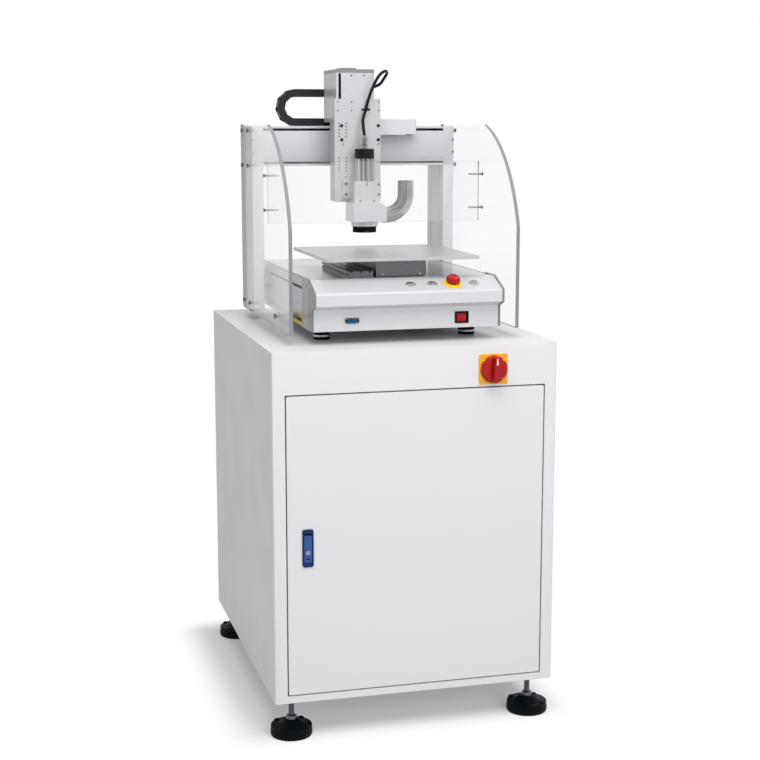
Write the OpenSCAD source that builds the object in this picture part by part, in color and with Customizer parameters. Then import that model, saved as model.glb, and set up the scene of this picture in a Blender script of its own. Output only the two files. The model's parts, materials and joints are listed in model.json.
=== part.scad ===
// Benchtop circuit board router on its steel cabinet, in millimetres.
// X runs to the right, Y runs from the front to the back, and Z runs up from the floor.

/* [Cabinet] */
// Width of the cabinet
cab_w = 620; // [600:1:760]
// Depth of the cabinet
cab_d = 750; // [740:1:900]
// Height of the cabinet's body, without its feet
cab_h = 750; // [650:1:950]
// Height of the cabinet's underside over the floor
cab_lift = 84; // [70:1:120]
// Thickness of the cabinet's sheet steel
sheet = 2; // [1.5:0.1:3]
// Width of the frame strip on each side of the door
door_side = 30; // [26:1:60]
// Height of the cabinet's front above the door
door_head = 92; // [86:1:140]
// Height of the cabinet's front below the door
door_sill = 18; // [14:1:60]
// Gap all round the door
door_gap = 3; // [2.5:0.1:5]
// Depth of the door's folded pan
door_pan = 18; // [14:1:24]
// Diameter of the door's pivot pins
pivot_d = 6; // [4:0.5:8]
// Distance of the pivot pins from the door's hinged edge
pivot_inset = 20; // [16:1:30]
// Height of the inner shelf over the cabinet's floor
shelf_up = 380; // [340:1:440]
// Margin of the removable rear panel inside the cabinet's rear opening frame
rear_margin = 40; // [30:1:70]
// Number of louvre slots in the rear panel
louvre_count = 8; // [4:1:12]

/* [Levelling feet] */
// Diameter of a foot pad
pad_d = 90; // [70:1:100]
// Height of a foot pad's rim
pad_rim = 24; // [18:1:28]
// Height of a foot pad's dome over its rim
pad_dome = 10; // [8:1:14]
// Diameter of a foot's threaded stem
stem_d = 12; // [10:1:16]
// Width across the corners of a stem's hex nut
nut_w = 24; // [20:1:30]
// Distance of a foot's centre from the cabinet's side
foot_in_x = 42; // [40:1:70]
// Distance of a foot's centre from the cabinet's front or back
foot_in_y = 38; // [36:1:70]

/* [Isolator and lock] */
// Width of the isolator's square plate
iso_plate = 64; // [60:1:70]
// Thickness of the isolator's plate
iso_plate_t = 3; // [2:0.5:4]
// Distance of the isolator's centre from the cabinet's middle
iso_x = 166; // [120:1:220]
// Distance of the isolator's centre below the cabinet's top
iso_drop = 52; // [44:1:54]
// Diameter of the isolator's knob
knob_d = 58; // [50:1:60]
// Height of the isolator's knob over its plate
knob_h = 26; // [20:1:34]
// Diameter of the isolator's shaft
iso_shaft_d = 8; // [6:0.5:10]
// Width of the door's lock
lock_w = 24; // [20:1:30]
// Height of the door's lock
lock_h = 81; // [70:1:100]
// Distance of the lock's middle from the door's free edge
lock_in = 43; // [36:1:60]
// Height of the lock's middle over the door's lower edge
lock_up = 318; // [200:1:420]

/* [Machine base] */
// Width of the machine's base over its end caps
base_w = 416; // [404:1:424]
// Height of the machine's base
base_h = 106; // [102:1:130]
// Height of the machine's feet
mfoot_h = 28; // [24:1:40]
// Diameter of the machine's feet
mfoot_d = 37; // [30:1:50]
// Distance of the base's lower front face from the middle of the cabinet
base_front = 296; // [290:1:320]
// Distance of the base's rear face from the middle of the cabinet
base_rear = 255; // [250:1:290]
// Reach of the rounded nose over the base's lower front face
nose_out = 26; // [20:1:32]
// Depth of the sloped control panel, measured level
slope_run = 58; // [54:1:66]
// Fall of the sloped control panel
slope_fall = 24; // [20:1:30]
// Wall thickness of the base's front moulding
front_wall = 4; // [3:0.5:5]
// Thickness of the base's side extrusions
side_t = 8; // [7:0.5:10]
// Thickness of the base's end caps
cap_t = 4; // [3:0.5:6]
// Length of an end cap behind the nose
cap_run = 119; // [100:1:140]
// Lip of the end caps all round the moulding
cap_lip = 2; // [1:0.5:3]
// Thickness of the base's top plate
top_t = 4; // [3:0.5:5]

/* [Table] */
// Width of the perforated table
table_w = 338; // [300:1:350]
// Depth of the perforated table
table_d = 335; // [300:1:350]
// Thickness of the perforated table
table_t = 7; // [5:0.5:9]
// Place of the table's middle, to the left of the cabinet's middle
table_left = 2; // [0:0.5:8]
// Spacing of the table's holes
hole_pitch = 20; // [18:1:40]
// Diameter of the table's holes
hole_d = 5; // [4:0.5:6]
// Width of the carriage that carries the table
carriage_w = 112; // [106:1:130]
// Height of the carriage over the base's top plate
carriage_h = 37; // [32:1:44]
// Width of a linear rail
rail_w = 15; // [12:1:18]
// Clearance of a moving block round its rail
run_gap = 0.5; // [0.4:0.1:0.8]
// Diameter of the drive screws
screw_d = 12; // [10:1:14]
// Width of a drive motor
motor_w = 56; // [50:1:58]

/* [Gantry] */
// Gap between the side of the base and each post
post_gap = 12; // [10:0.5:16]
// Thickness of a post
post_t = 26; // [22:1:30]
// Depth of a post
post_d = 109; // [104:1:114]
// Distance of the posts' front faces behind the middle of the cabinet
gantry_y = 159; // [155:1:175]
// Height of the beam's underside over the base
beam_up = 227; // [210:1:260]
// Height of the beam
beam_h = 92; // [88:1:100]
// Wall thickness of the beam
beam_wall = 5; // [4.5:0.5:7]
// Height of each slot beside the beam's front cover
slot_h = 5; // [4.5:0.1:6]
// Thickness of the beam's front cover
cover_t = 4; // [3:0.5:5]

/* [Guards] */
// Thickness of the clear guards
guard_t = 8; // [6:0.5:10]
// Height of the guards' lower edge over the cabinet's top
guard_lift = 21; // [15:1:26]
// Reach of the guards in front of the middle of the cabinet
guard_front = 288; // [270:1:320]
// Height of the guards' upright front edge
guard_upright = 218; // [200:1:260]
// Radius of the guards' curved front edge
guard_arc = 320; // [300:1:400]
// Reach of the guards' top edge in front of the middle of the cabinet
guard_top_front = 62; // [50:1:110]
// Distance of the front shield in front of the middle of the cabinet
shield_y = 34; // [30:1:60]
// Height of the front shield's lower edge over the base
shield_up = 105; // [95:1:120]
// Height of the front shield
shield_h = 136; // [120:1:140]

/* [Carriage and Z axis] */
// Place of the head's middle, to the left of the cabinet's middle
head_left = 17; // [0:1:30]
// Width of the X carriage's front plate
xplate_w = 106; // [102:1:112]
// Thickness of the X carriage's front plate
xplate_t = 12; // [10:1:14]
// Gap between the X carriage's front plate and the beam's cover
xplate_gap = 7; // [5:0.5:9]
// Width of the Z housing
zbox_w = 90; // [84:1:94]
// Depth of the Z housing beside the beam
zbox_d = 65; // [62:1:70]
// Depth of the Z housing above the beam
zbox_top_d = 125; // [115:1:130]
// Height of the Z housing's underside over the base
zbox_up = 146; // [140:1:160]
// Height of the Z housing
zbox_h = 294; // [286:1:310]
// Height of the Z housing's top cap
zcap_h = 11; // [8:1:14]
// Width of the Z plate
zplate_w = 109; // [104:1:114]
// Height of the Z plate
zplate_h = 235; // [225:1:240]
// Thickness of the Z plate
zplate_t = 12; // [10:1:13]

/* [Spindle] */
// Place of the spindle to the right of the head's middle
spindle_right = 9; // [6:1:12]
// Distance of the spindle's axis in front of the Z plate
spindle_out = 28; // [27:0.5:30]
// Diameter of the spindle's body
spindle_d = 45; // [42:1:46]
// Length of the spindle's steel body
spindle_h = 114; // [104:1:120]
// Height of the spindle's black cap
spincap_h = 22; // [18:1:26]
// Width of the spindle's clamp
clamp_w = 60; // [58:1:64]
// Height of the spindle's clamp
clamp_h = 38; // [32:1:42]
// Height of the shroud's mounting collar under the clamp
collar_h = 11; // [9:1:14]
// Width of the dust shroud
shroud_w = 76; // [72:1:80]
// Height of the dust shroud
shroud_h = 42; // [40:1:46]
// Wall thickness of the dust shroud
shroud_wall = 4; // [3:0.5:5]
// Diameter of the ring under the shroud
ring_d = 62; // [60:1:66]
// Height of the ring under the shroud
ring_h = 10; // [8:1:12]
// Length of the brush
brush_h = 16; // [14:1:18]
// Outer diameter of the suction tube
tube_d = 37; // [32:0.5:38]
// Wall thickness of the suction tube
tube_wall = 1.5; // [1:0.1:2]
// Bend radius of the suction tube, to its axis
tube_bend = 47; // [44:1:52]
// Length of the suction tube's straight upright end
tube_up = 31; // [20:1:60]
// Length of the suction tube's straight level end
tube_run = 10; // [4:1:20]
// Diameter of the router bit
bit_d = 3.2; // [2:0.1:6]

/* [Drag chain] */
// Height of the drag chain's links
chain_h = 18; // [15:0.5:20]
// Width of the drag chain
chain_w = 26; // [22:1:30]
// Bend radius of the drag chain, to its middle
chain_bend_r = 34; // [32:0.5:38]
// Distance of the drag chain's bend to the left of the cabinet's middle
chain_left = 133; // [128:1:142]
// Pitch of the drag chain's links
link_pitch = 22; // [18:0.5:26]

/* [Controls] */
// Diameter of the push buttons' metal bezels
bezel_d = 23; // [20:0.5:25]
// Diameter of the push buttons
button_d = 16; // [14:0.5:17]
// Distance between the first two push buttons
button_step = 48; // [44:1:50]
// Distance of the last push button from the right end of the base
button_in = 58; // [54:1:62]
// Diameter of the stop switch's yellow ring
estop_ring_d = 39; // [36:1:42]
// Diameter of the stop switch's head
estop_d = 31; // [28:0.5:34]
// Width of the rocker switch's bezel
rocker_w = 31; // [28:0.5:34]
// Height of the rocker switch's bezel
rocker_h = 25.5; // [22:0.5:28]
// Distance of the rocker switch from the right end of the base
rocker_in = 87; // [70:1:100]
// Distance of the serial socket from the left end of the base
serial_in = 87; // [70:1:100]

/* [Hidden] */
$fn = 48;
eps = 0.01;
fit = 0.3;
turn_fit = 0.1;

// Levels over the floor
z_cab = cab_lift;
z_top = z_cab + cab_h;
z_base = z_top + mfoot_h;
z_deck = z_base + base_h;
z_table = z_deck + 1 + carriage_h;
z_post = z_top + guard_lift;
z_beam = z_deck + beam_up;
z_beam_top = z_beam + beam_h;
z_guard_top = z_beam_top + 4;

gland_out = 12;

// The origin lies under the middle of the whole object, whose knob reaches out in front
front_reach = max(cab_d / 2 + iso_plate_t + knob_h, cab_d / 2 - foot_in_y + pad_d / 2);
rear_reach = max(cab_d / 2 + gland_out, cab_d / 2 - foot_in_y + pad_d / 2);

y_shift = (front_reach - rear_reach) / 2;

// Door
door_x0 = -cab_w / 2 + door_side;
door_x1 = cab_w / 2 - door_side + 1;
door_z0 = z_cab + door_sill;
door_z1 = z_top - door_head;
pivot_x = door_x1 - pivot_inset;
pivot_y = -cab_d / 2 + door_pan / 2 - 1;
lock_x = door_x0 + lock_in;
lock_z = door_z0 + lock_up;
lock_plate_t = 2.5;
lever_w = lock_w - 8;
lever_h = lock_h - 20;
lever_pin_z = lock_z + lever_h / 2 - 6;
lever_pin_y = -cab_d / 2 + 3;

// Isolator
iso_z = z_top - iso_drop;

// Base
nose_y = -base_front - nose_out;
slope_y = nose_y + slope_run;
nose_z = z_deck - slope_fall;
nose_low = nose_z - 26;
step_z = nose_low - 10;
side_x = base_w / 2 - cap_t;
slope_angle = atan(slope_fall / slope_run);
nose_r = 6;
nose_fall = nose_r * (1 - sin(slope_angle)) / cos(slope_angle);
slot_front = 101 - base_front;
y_travel = 240;

// Table and its drive
rail_x = carriage_w / 2 - 16;
rail_top = z_deck - top_t - 29;
rail_hh = 12;
leg_t = 8;
table_y0 = 18 - base_front;
carriage_y0 = table_y0 + 43;
carriage_right = 3.5;
carriage_len = 270;
switch_bar_x0 = 90 - side_x;
switch_bar_w = 54;
switch_bar_h = 14;
drive_box_y = base_rear - 79;
y_screw_z = rail_top + 8;

// Gantry
post_in = base_w / 2 + post_gap;
post_out = post_in + post_t;
guard_x = post_out + guard_t;
cover_y = gantry_y;
cover_low = z_beam + beam_wall + slot_h;
cover_top = z_beam_top - beam_wall - slot_h - 0.5;
beam_back = gantry_y + post_d;
x_rail_y = beam_back - beam_wall;
x_rail_hh = 8;
x_rail_low = z_beam + beam_h / 2 - 20;
x_rail_high = z_beam + beam_h / 2 + 20;
x_screw_y = gantry_y + 53;
x_screw_z = z_beam + beam_h / 2;

// Head
head_x = -head_left;
xplate_y = cover_y - xplate_gap - xplate_t;
zbox_y = xplate_y - zbox_d;
zbox_z = z_deck + zbox_up;
zbox_top = zbox_z + zbox_h;
zbox_step = z_beam_top + 9;
zbox_x0 = head_x - zbox_w / 2 - 2;
zbox_x1 = zbox_x0 + zbox_w;
zbox_wall = 4;
zslot_x0 = zbox_x0 + 5.5;
zslot_w = 6;
zplate_y = zbox_y - 1;
zplate_x0 = head_x - zplate_w / 2;
zplate_x1 = zplate_x0 + zplate_w;
zplate_top = zbox_z + zplate_h;
zrail_x = head_x - 18;
zrail_y = xplate_y - zbox_wall;

// Spindle
spin_x = head_x + spindle_right;
spin_y = zplate_y - zplate_t - spindle_out;
clamp_z = zbox_z + collar_h;
flange_t = 6;
clamp_y0 = spin_y - spindle_d / 2 - 2.5;
plate_face = zplate_y - zplate_t;
spindle_z = clamp_z - 25;
spincap_z = spindle_z + spindle_h;
shroud_z = zbox_z - shroud_h;
shroud_y0 = spin_y - spindle_d / 2 - 23;
shroud_y1 = plate_face;
ring_z = shroud_z - ring_h;
brush_z = ring_z - brush_h;
brush_d = ring_d - 6;
tube_z = shroud_z + tube_d / 2 - 5.5;
tube_x0 = spin_x + shroud_w / 2 + 3;
tube_y = spin_y;

// Drag chain
chain_y0 = zbox_y + zbox_top_d + 4;
chain_z0 = z_beam_top + 0.5;
chain_mid = chain_z0 + chain_h / 2 + chain_bend_r;
chain_top_z = chain_z0 + 2 * chain_bend_r;
chain_fixed_x = 10;
chain_end_x = head_x - 18;
chain_wall = 2;

// Guards
guard_low = z_post;
arc_low_z = guard_low + guard_upright;
arc_dx = guard_front - guard_top_front;
arc_dz = z_guard_top - arc_low_z;
arc_chord = sqrt(arc_dx * arc_dx + arc_dz * arc_dz);
arc_side = sqrt(guard_arc * guard_arc - arc_chord * arc_chord / 4);
arc_cy = -guard_front + arc_dx / 2 + arc_side * arc_dz / arc_chord;
arc_cz = arc_low_z + arc_dz / 2 - arc_side * arc_dx / arc_chord;
guard_rear = gantry_y + post_d - 5;
shield_z = z_deck + shield_up;
standoff_z = z_base + 17;
standoff_y = -136;

// Controls
panel_y = nose_y + slope_run / 2;
panel_z = nose_z + slope_fall / 2;
reset_x = base_w / 2 - button_in;
estop_x = reset_x - button_step - 0.5;
pause_x = reset_x - 2 * button_step + 2;
start_x = pause_x - button_step;
rocker_x = base_w / 2 - rocker_in;
serial_x = base_w / 2 - serial_in;
button_rise = 1.2;
estop_rise = 6.5;
face_z = z_base + 22;

// Route of the spindle's cable, from its connector to the gland on the Z housing
cable_d = 7;
connector_top = spincap_z + spincap_h + 31;
cable_start = [spin_x, spin_y, connector_top];
cable_end = [zbox_x1 + 8, zbox_y + 45, z_deck + 408];
cable_route = [
  cable_start,
  cable_start + [-2, 2, 18],
  cable_start + [0, 12, 36],
  cable_start + [8, 20, 56],
  cable_start + [15, 19, 82],
  cable_start + [23, 15, 106],
  cable_start + [34, 13, 128],
  cable_start + [45, 16, 140],
  cable_start + [57, 25, 145],
  cable_start + [64, 40, 140],
  cable_start + [62, 56, 130],
  cable_end + [15, -10, 8],
  cable_end
];

module placed() {
  translate([0, y_shift, 0]) children();
}

// A block with its four upright edges rounded
module upright_block(x0, x1, y0, y1, z0, z1, r) {
  translate([0, 0, z0])
    linear_extrude(z1 - z0)
      rounded_area(x0, x1, y0, y1, r);
}

// A level outline with rounded corners
module rounded_area(x0, x1, y0, y1, r) {
  union() {
    translate([x0 + r, y0]) square([x1 - x0 - 2 * r, y1 - y0]);
    translate([x0, y0 + r]) square([x1 - x0, y1 - y0 - 2 * r]);
    for (x = [x0 + r, x1 - r], y = [y0 + r, y1 - r]) translate([x, y]) circle(r);
  }
}

module block(x0, x1, y0, y1, z0, z1) {
  translate([x0, y0, z0]) cube([x1 - x0, y1 - y0, z1 - z0]);
}

// A flat outline in X and Z, pushed out along Y from y0 to y1
module front_plate(y0, y1) {
  translate([0, y1, 0])
    rotate([90, 0, 0])
      linear_extrude(y1 - y0)
        children();
}

// A flat outline in Y and Z, pushed out along X from x0 to x1
module side_plate(x0, x1) {
  translate([x0, 0, 0])
    rotate([90, 0, 90])
      linear_extrude(x1 - x0)
        children();
}

// A round bar along X, Y or Z
module bar_x(x0, x1, y, z, d) {
  translate([x0, y, z]) rotate([0, 90, 0]) cylinder(h = x1 - x0, d = d);
}

module bar_y(y0, y1, x, z, d) {
  translate([x, y0, z]) rotate([-90, 0, 0]) cylinder(h = y1 - y0, d = d);
}

module bar_z(z0, z1, x, y, d) {
  translate([x, y, z0]) cylinder(h = z1 - z0, d = d);
}

// Puts a piece on the sloped panel, with its own Z along the panel's normal
module on_slope(x) {
  translate([x, panel_y, panel_z]) rotate([slope_angle, 0, 0]) children();
}

// ---------- Cabinet ----------

module cabinet_shell() {
  color("gainsboro") placed() difference() {
    upright_block(-cab_w / 2, cab_w / 2, -cab_d / 2, cab_d / 2, z_cab, z_top, 4);
    block(-cab_w / 2 + sheet, cab_w / 2 - sheet, -cab_d / 2 + sheet, cab_d / 2 - sheet,
      z_cab + sheet, z_top - sheet);
    block(door_x0 - door_gap, door_x1 + door_gap, -cab_d / 2 - 1, -cab_d / 2 + 20,
      door_z0 - door_gap, door_z1 + door_gap);
    block(-cab_w / 2 + rear_margin, cab_w / 2 - rear_margin, cab_d / 2 - 20, cab_d / 2 + 1,
      z_cab + rear_margin, z_top - rear_margin);
    for (x = [-1, 1], y = [-1, 1])
      bar_z(z_cab - 1, z_cab + 20, x * (cab_w / 2 - foot_in_x), y * (cab_d / 2 - foot_in_y),
        stem_d + 0.6);
    bar_y(-cab_d / 2 - 1, -cab_d / 2 + 20, iso_x, iso_z, iso_shaft_d + 8);
  }
  color("gainsboro") placed() door_frame();
}

// Folded strips round the door's opening, and the blocks that hold its pivot pins
module door_frame() {
  inner_y = -cab_d / 2 + sheet;
  block(door_x0 - door_gap - sheet, door_x0 - door_gap, inner_y, inner_y + 24,
    z_cab + sheet, z_top - sheet);
  block(door_x1 + door_gap, door_x1 + door_gap + sheet, inner_y, inner_y + 24,
    z_cab + sheet, z_top - sheet);
  difference() {
    block(door_x0 - door_gap, door_x1 + door_gap, inner_y, inner_y + 24,
      door_z1 + door_gap, door_z1 + door_gap + sheet);
    bar_z(door_z1, door_z1 + 30, pivot_x, pivot_y, pivot_d);
  }
  difference() {
    block(door_x0 - door_gap, door_x1 + door_gap, inner_y, inner_y + 24,
      door_z0 - door_gap - sheet, door_z0 - door_gap);
    bar_z(door_z0 - 30, door_z0, pivot_x, pivot_y, pivot_d);
  }
}

module rear_panel() {
  step = (cab_h - 2 * rear_margin - 120) / (louvre_count - 1);
  color("lightgray") placed() difference() {
    block(-cab_w / 2 + rear_margin - 14, cab_w / 2 - rear_margin + 14, cab_d / 2 - 2 * sheet,
      cab_d / 2 - sheet, z_cab + rear_margin - 14, z_top - rear_margin + 14);
    for (i = [0 : louvre_count - 1], x = [-1, 1])
      block(x * 115 - 60, x * 115 + 60, cab_d / 2 - 20, cab_d / 2 + 20,
        z_cab + rear_margin + 56 + i * step, z_cab + rear_margin + 64 + i * step);
    bar_y(cab_d / 2 - 20, cab_d / 2 + 20, -cab_w / 2 + rear_margin + 30,
      z_cab + rear_margin + 28, 20.6);
  }
}

module mains_gland() {
  color("dimgray") placed() difference() {
    union() {
      bar_y(cab_d / 2 - 20, cab_d / 2 - sheet, -cab_w / 2 + rear_margin + 30,
        z_cab + rear_margin + 28, 20);
      bar_y(cab_d / 2 - sheet, cab_d / 2 + gland_out, -cab_w / 2 + rear_margin + 30,
        z_cab + rear_margin + 28, 27);
    }
    bar_y(cab_d / 2 - 30, cab_d / 2 + gland_out + 1, -cab_w / 2 + rear_margin + 30,
      z_cab + rear_margin + 28, 11);
  }
}

module door() {
  color("whitesmoke") placed() difference() {
    union() {
      front_plate(-cab_d / 2, -cab_d / 2 + door_pan)
        rounded_area(door_x0, door_x1, door_z0, door_z1, 4);
    }
    block(door_x0 + sheet, door_x1 - sheet, -cab_d / 2 + sheet, -cab_d / 2 + door_pan + 1,
      door_z0 + sheet, door_z1 - sheet);
    bar_z(door_z0 - 1, door_z1 + 1, pivot_x, pivot_y, pivot_d + 2 * turn_fit);
    block(lock_x - lock_w / 2 + 2, lock_x + lock_w / 2 - 2, -cab_d / 2 - 1, -cab_d / 2 + 10,
      lock_z - lock_h / 2 + 2, lock_z + lock_h / 2 - 2);
  }
}

module door_pivots() {
  color("silver") placed() {
    bar_z(door_z1 - 8, door_z1 + 14, pivot_x, pivot_y, pivot_d);
    bar_z(door_z0 - 14, door_z0 + 8, pivot_x, pivot_y, pivot_d);
  }
}

// The lock's tray, whose rim covers the door's cut-out
module lock_body() {
  color("royalblue") placed() difference() {
    union() {
      front_plate(-cab_d / 2 - lock_plate_t, -cab_d / 2)
        rounded_area(lock_x - lock_w / 2, lock_x + lock_w / 2, lock_z - lock_h / 2,
          lock_z + lock_h / 2, 5);
      front_plate(-cab_d / 2 - eps, -cab_d / 2 + 24)
        rounded_area(lock_x - lock_w / 2 + 2.3, lock_x + lock_w / 2 - 2.3,
          lock_z - lock_h / 2 + 2.3, lock_z + lock_h / 2 - 2.3, 3);
    }
    front_plate(-cab_d / 2 - 10, -cab_d / 2 + 14)
      rounded_area(lock_x - lever_w / 2 - 0.8, lock_x + lever_w / 2 + 0.8,
        lock_z - lever_h / 2 - 1, lock_z + lever_h / 2 + 1, 2);
    bar_x(lock_x - lock_w, lock_x + lock_w, lever_pin_y, lever_pin_z, 3 + 2 * turn_fit);
  }
}

// The lever turns on a pin through its upper end and swings out at the bottom
module lock_lever() {
  color("cornflowerblue") placed() union() {
    difference() {
      front_plate(-cab_d / 2 - lock_plate_t, -cab_d / 2 + 3)
        rounded_area(lock_x - lever_w / 2, lock_x + lever_w / 2, lock_z - lever_h / 2,
          lever_pin_z + 2, 2);
      front_plate(-cab_d / 2 - lock_plate_t - 1, -cab_d / 2 - lock_plate_t + 1)
        rounded_area(lock_x - 4, lock_x + 4, lock_z - lever_h / 2 + 5,
          lock_z - lever_h / 2 + 13, 2);
    }
    bar_x(lock_x - lever_w / 2, lock_x + lever_w / 2, lever_pin_y, lever_pin_z, 7);
    bar_x(lock_x - lock_w / 2 + 2.6, lock_x + lock_w / 2 - 2.6, lever_pin_y, lever_pin_z, 3);
  }
}

module foot_pads() {
  color("darkslategray") placed()
    for (x = [-1, 1], y = [-1, 1])
      translate([x * (cab_w / 2 - foot_in_x), y * (cab_d / 2 - foot_in_y), 0]) foot_pad();
}

module foot_pad() {
  difference() {
    rotate_extrude($fn = 64)
      union() {
        square([pad_d / 2 - 3, pad_rim]);
        translate([0, 3]) square([pad_d / 2, pad_rim - 3]);
        translate([pad_d / 2 - 3, 3]) circle(3);
        polygon([[0, pad_rim - eps], [pad_d / 2 - 3, pad_rim - eps], [nut_w / 2 + 7, pad_rim + 6],
          [nut_w / 2 + 2, pad_rim + pad_dome], [0, pad_rim + pad_dome]]);
      }
    translate([0, 0, pad_rim]) cylinder(h = 40, d = stem_d + 0.4);
  }
}

module foot_stems() {
  color("silver") placed()
    for (x = [-1, 1], y = [-1, 1])
      translate([x * (cab_w / 2 - foot_in_x), y * (cab_d / 2 - foot_in_y), 0]) union() {
        translate([0, 0, pad_rim]) cylinder(h = cab_lift - pad_rim + 24, d = stem_d);
        translate([0, 0, pad_rim + pad_dome]) cylinder(h = 10, d = nut_w, $fn = 6);
        translate([0, 0, cab_lift - 10]) cylinder(h = 10, d = nut_w, $fn = 6);
        translate([0, 0, cab_lift + sheet]) cylinder(h = 10, d = nut_w, $fn = 6);
      }
}

module isolator_plate() {
  color("gold") placed() difference() {
    front_plate(-cab_d / 2 - iso_plate_t, -cab_d / 2)
      rounded_area(iso_x - iso_plate / 2, iso_x + iso_plate / 2, iso_z - iso_plate / 2,
        iso_z + iso_plate / 2, 3);
    bar_y(-cab_d / 2 - 10, -cab_d / 2 + 1, iso_x, iso_z, iso_shaft_d + 2);
  }
}

module isolator_body() {
  color("dimgray") placed() difference() {
    block(iso_x - iso_plate / 2 + 6, iso_x + iso_plate / 2 - 6, -cab_d / 2 + sheet,
      -cab_d / 2 + 48, iso_z - iso_plate / 2 + 6, iso_z + iso_plate / 2 - 6);
    bar_y(-cab_d / 2, -cab_d / 2 + 40, iso_x, iso_z, iso_shaft_d + 2 * turn_fit);
  }
}

module isolator_knob() {
  knob_y = -cab_d / 2 - iso_plate_t;
  color("crimson") placed() union() {
    difference() {
      translate([iso_x, knob_y - fit, iso_z])
        rotate([90, 0, 0]) {
          cylinder(h = 9, d = knob_d);
          translate([0, 0, 9 - eps]) cylinder(h = 3, d1 = knob_d, d2 = knob_d - 8);
        }
      for (a = [45 : 90 : 315])
        translate([iso_x, knob_y - 6, iso_z])
          rotate([0, a, 0])
            translate([knob_d / 2 - 1, 0, 0])
              rotate([90, 0, 0]) cylinder(h = 30, d = 5, center = true);
    }
    translate([iso_x, 0, iso_z]) front_plate(knob_y - knob_h, knob_y - 11)
      union() {
        polygon([[-5, knob_d / 2 - 2], [-9, -knob_d / 2 + 9], [9, -knob_d / 2 + 9],
          [5, knob_d / 2 - 2]]);
        translate([0, -knob_d / 2 + 9]) circle(9);
      }
    bar_y(knob_y - 2, -cab_d / 2 + 36, iso_x, iso_z, iso_shaft_d);
  }
}

module cabinet_shelf() {
  z0 = z_cab + shelf_up;
  color("silver") placed() union() {
    block(-cab_w / 2 + sheet, cab_w / 2 - sheet, -cab_d / 2 + 60, cab_d / 2 - 30, z0, z0 + sheet);
    block(-cab_w / 2 + sheet, cab_w / 2 - sheet, -cab_d / 2 + 60, -cab_d / 2 + 60 + sheet,
      z0 - 22, z0 + sheet);
    block(-cab_w / 2 + sheet, -cab_w / 2 + 2 * sheet, -cab_d / 2 + 60, cab_d / 2 - 30,
      z0 - 22, z0 + sheet);
    block(cab_w / 2 - 2 * sheet, cab_w / 2 - sheet, -cab_d / 2 + 60, cab_d / 2 - 30,
      z0 - 22, z0 + sheet);
  }
}

// The dust collector that the suction tube's hose leads to
module dust_collector() {
  z0 = z_cab + sheet;
  top = shelf_up - 60;
  color("slategray") placed() translate([0, 40, z0]) union() {
    rotate_extrude($fn = 64)
      polygon([[0, 0], [130, 0], [138, 8], [138, top * 0.62], [144, top * 0.62],
        [144, top * 0.7], [126, top * 0.7], [112, top - 6], [100, top], [0, top]]);
    translate([0, -132, top * 0.32]) rotate([90, 0, 0]) difference() {
      cylinder(h = 46, d = 44);
      translate([0, 0, 14]) cylinder(h = 40, d = 38);
    }
  }
}

// ---------- Machine base ----------

module base_feet() {
  color("darkslategray") placed()
    for (x = [-1, 1], y = [98 - base_front, base_rear - 60])
      translate([x * (base_w / 2 - 44), y, z_top])
        rotate_extrude()
          polygon([[0, 0], [mfoot_d / 2 - 2, 0], [mfoot_d / 2, 2], [mfoot_d / 2, 8],
            [mfoot_d / 2 + 1, 9], [mfoot_d / 2 + 1, 15], [mfoot_d / 2 - 1, 16],
            [mfoot_d / 2 - 1, mfoot_h], [0, mfoot_h]]);
}

// Outline of the base's front in Y and Z, back to y = back, with its nose rounded, and grown by lip
module front_outline(back, lip = 0) {
  r = nose_r + lip;
  polygon([[-base_front - lip, z_base], [-base_front - lip, step_z - lip / 2],
    [nose_y - lip, nose_low - lip / 2],
    for (i = [0 : 6])
      let (a = 180 - i * (90 - slope_angle) / 6)
      [nose_y + nose_r + r * cos(a), nose_z - nose_fall + r * sin(a)],
    [slope_y - lip / 5, z_deck + lip], [back, z_deck + lip], [back, z_base]]);
}

module base_moulding() {
  back = slope_y + 24;
  w = front_wall;
  color("gainsboro") placed() difference() {
    side_plate(-side_x, side_x) difference() {
      front_outline(back);
      polygon([[w - base_front, z_base + w], [w - base_front, step_z], [nose_y + w, nose_low + w * 0.4],
        [nose_y + w, nose_z - w * 0.7], [slope_y + w * 0.2, z_deck - w], [back + 1, z_deck - w],
        [back + 1, z_base + w]]);
    }
    for (x = [start_x, pause_x, reset_x])
      on_slope(x) translate([0, 0, -20]) cylinder(h = 40, d = button_d + 2.4);
    on_slope(estop_x) translate([0, 0, -20]) cylinder(h = 40, d = 22.4);
    block(rocker_x - rocker_w / 2 + 2, rocker_x + rocker_w / 2 - 2, -base_front - 1,
      -base_front + 10, face_z - rocker_h / 2 + 2, face_z + rocker_h / 2 - 2);
    block(-serial_x - 10, -serial_x + 10, -base_front - 1, -base_front + 10, face_z - 6, face_z + 6);
  }
}

module base_end_caps() {
  screws = [[nose_y + cap_run - 46, z_deck - 14], [nose_y + cap_run - 46, z_base + 8],
    [nose_y + cap_run - 8, z_deck - 14], [nose_y + cap_run - 8, z_base + 8], [nose_y + 12, nose_z - 14]];
  color("lightgray") placed()
    for (s = [-1, 1])
      mirror([s > 0 ? 0 : 1, 0, 0]) difference() {
        side_plate(side_x, side_x + cap_t) front_outline(nose_y + cap_run, cap_lip);
        for (p = screws)
          bar_x(side_x + cap_t - 1.2, side_x + cap_t + 1, p[0], p[1], 5);
      }
}

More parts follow.
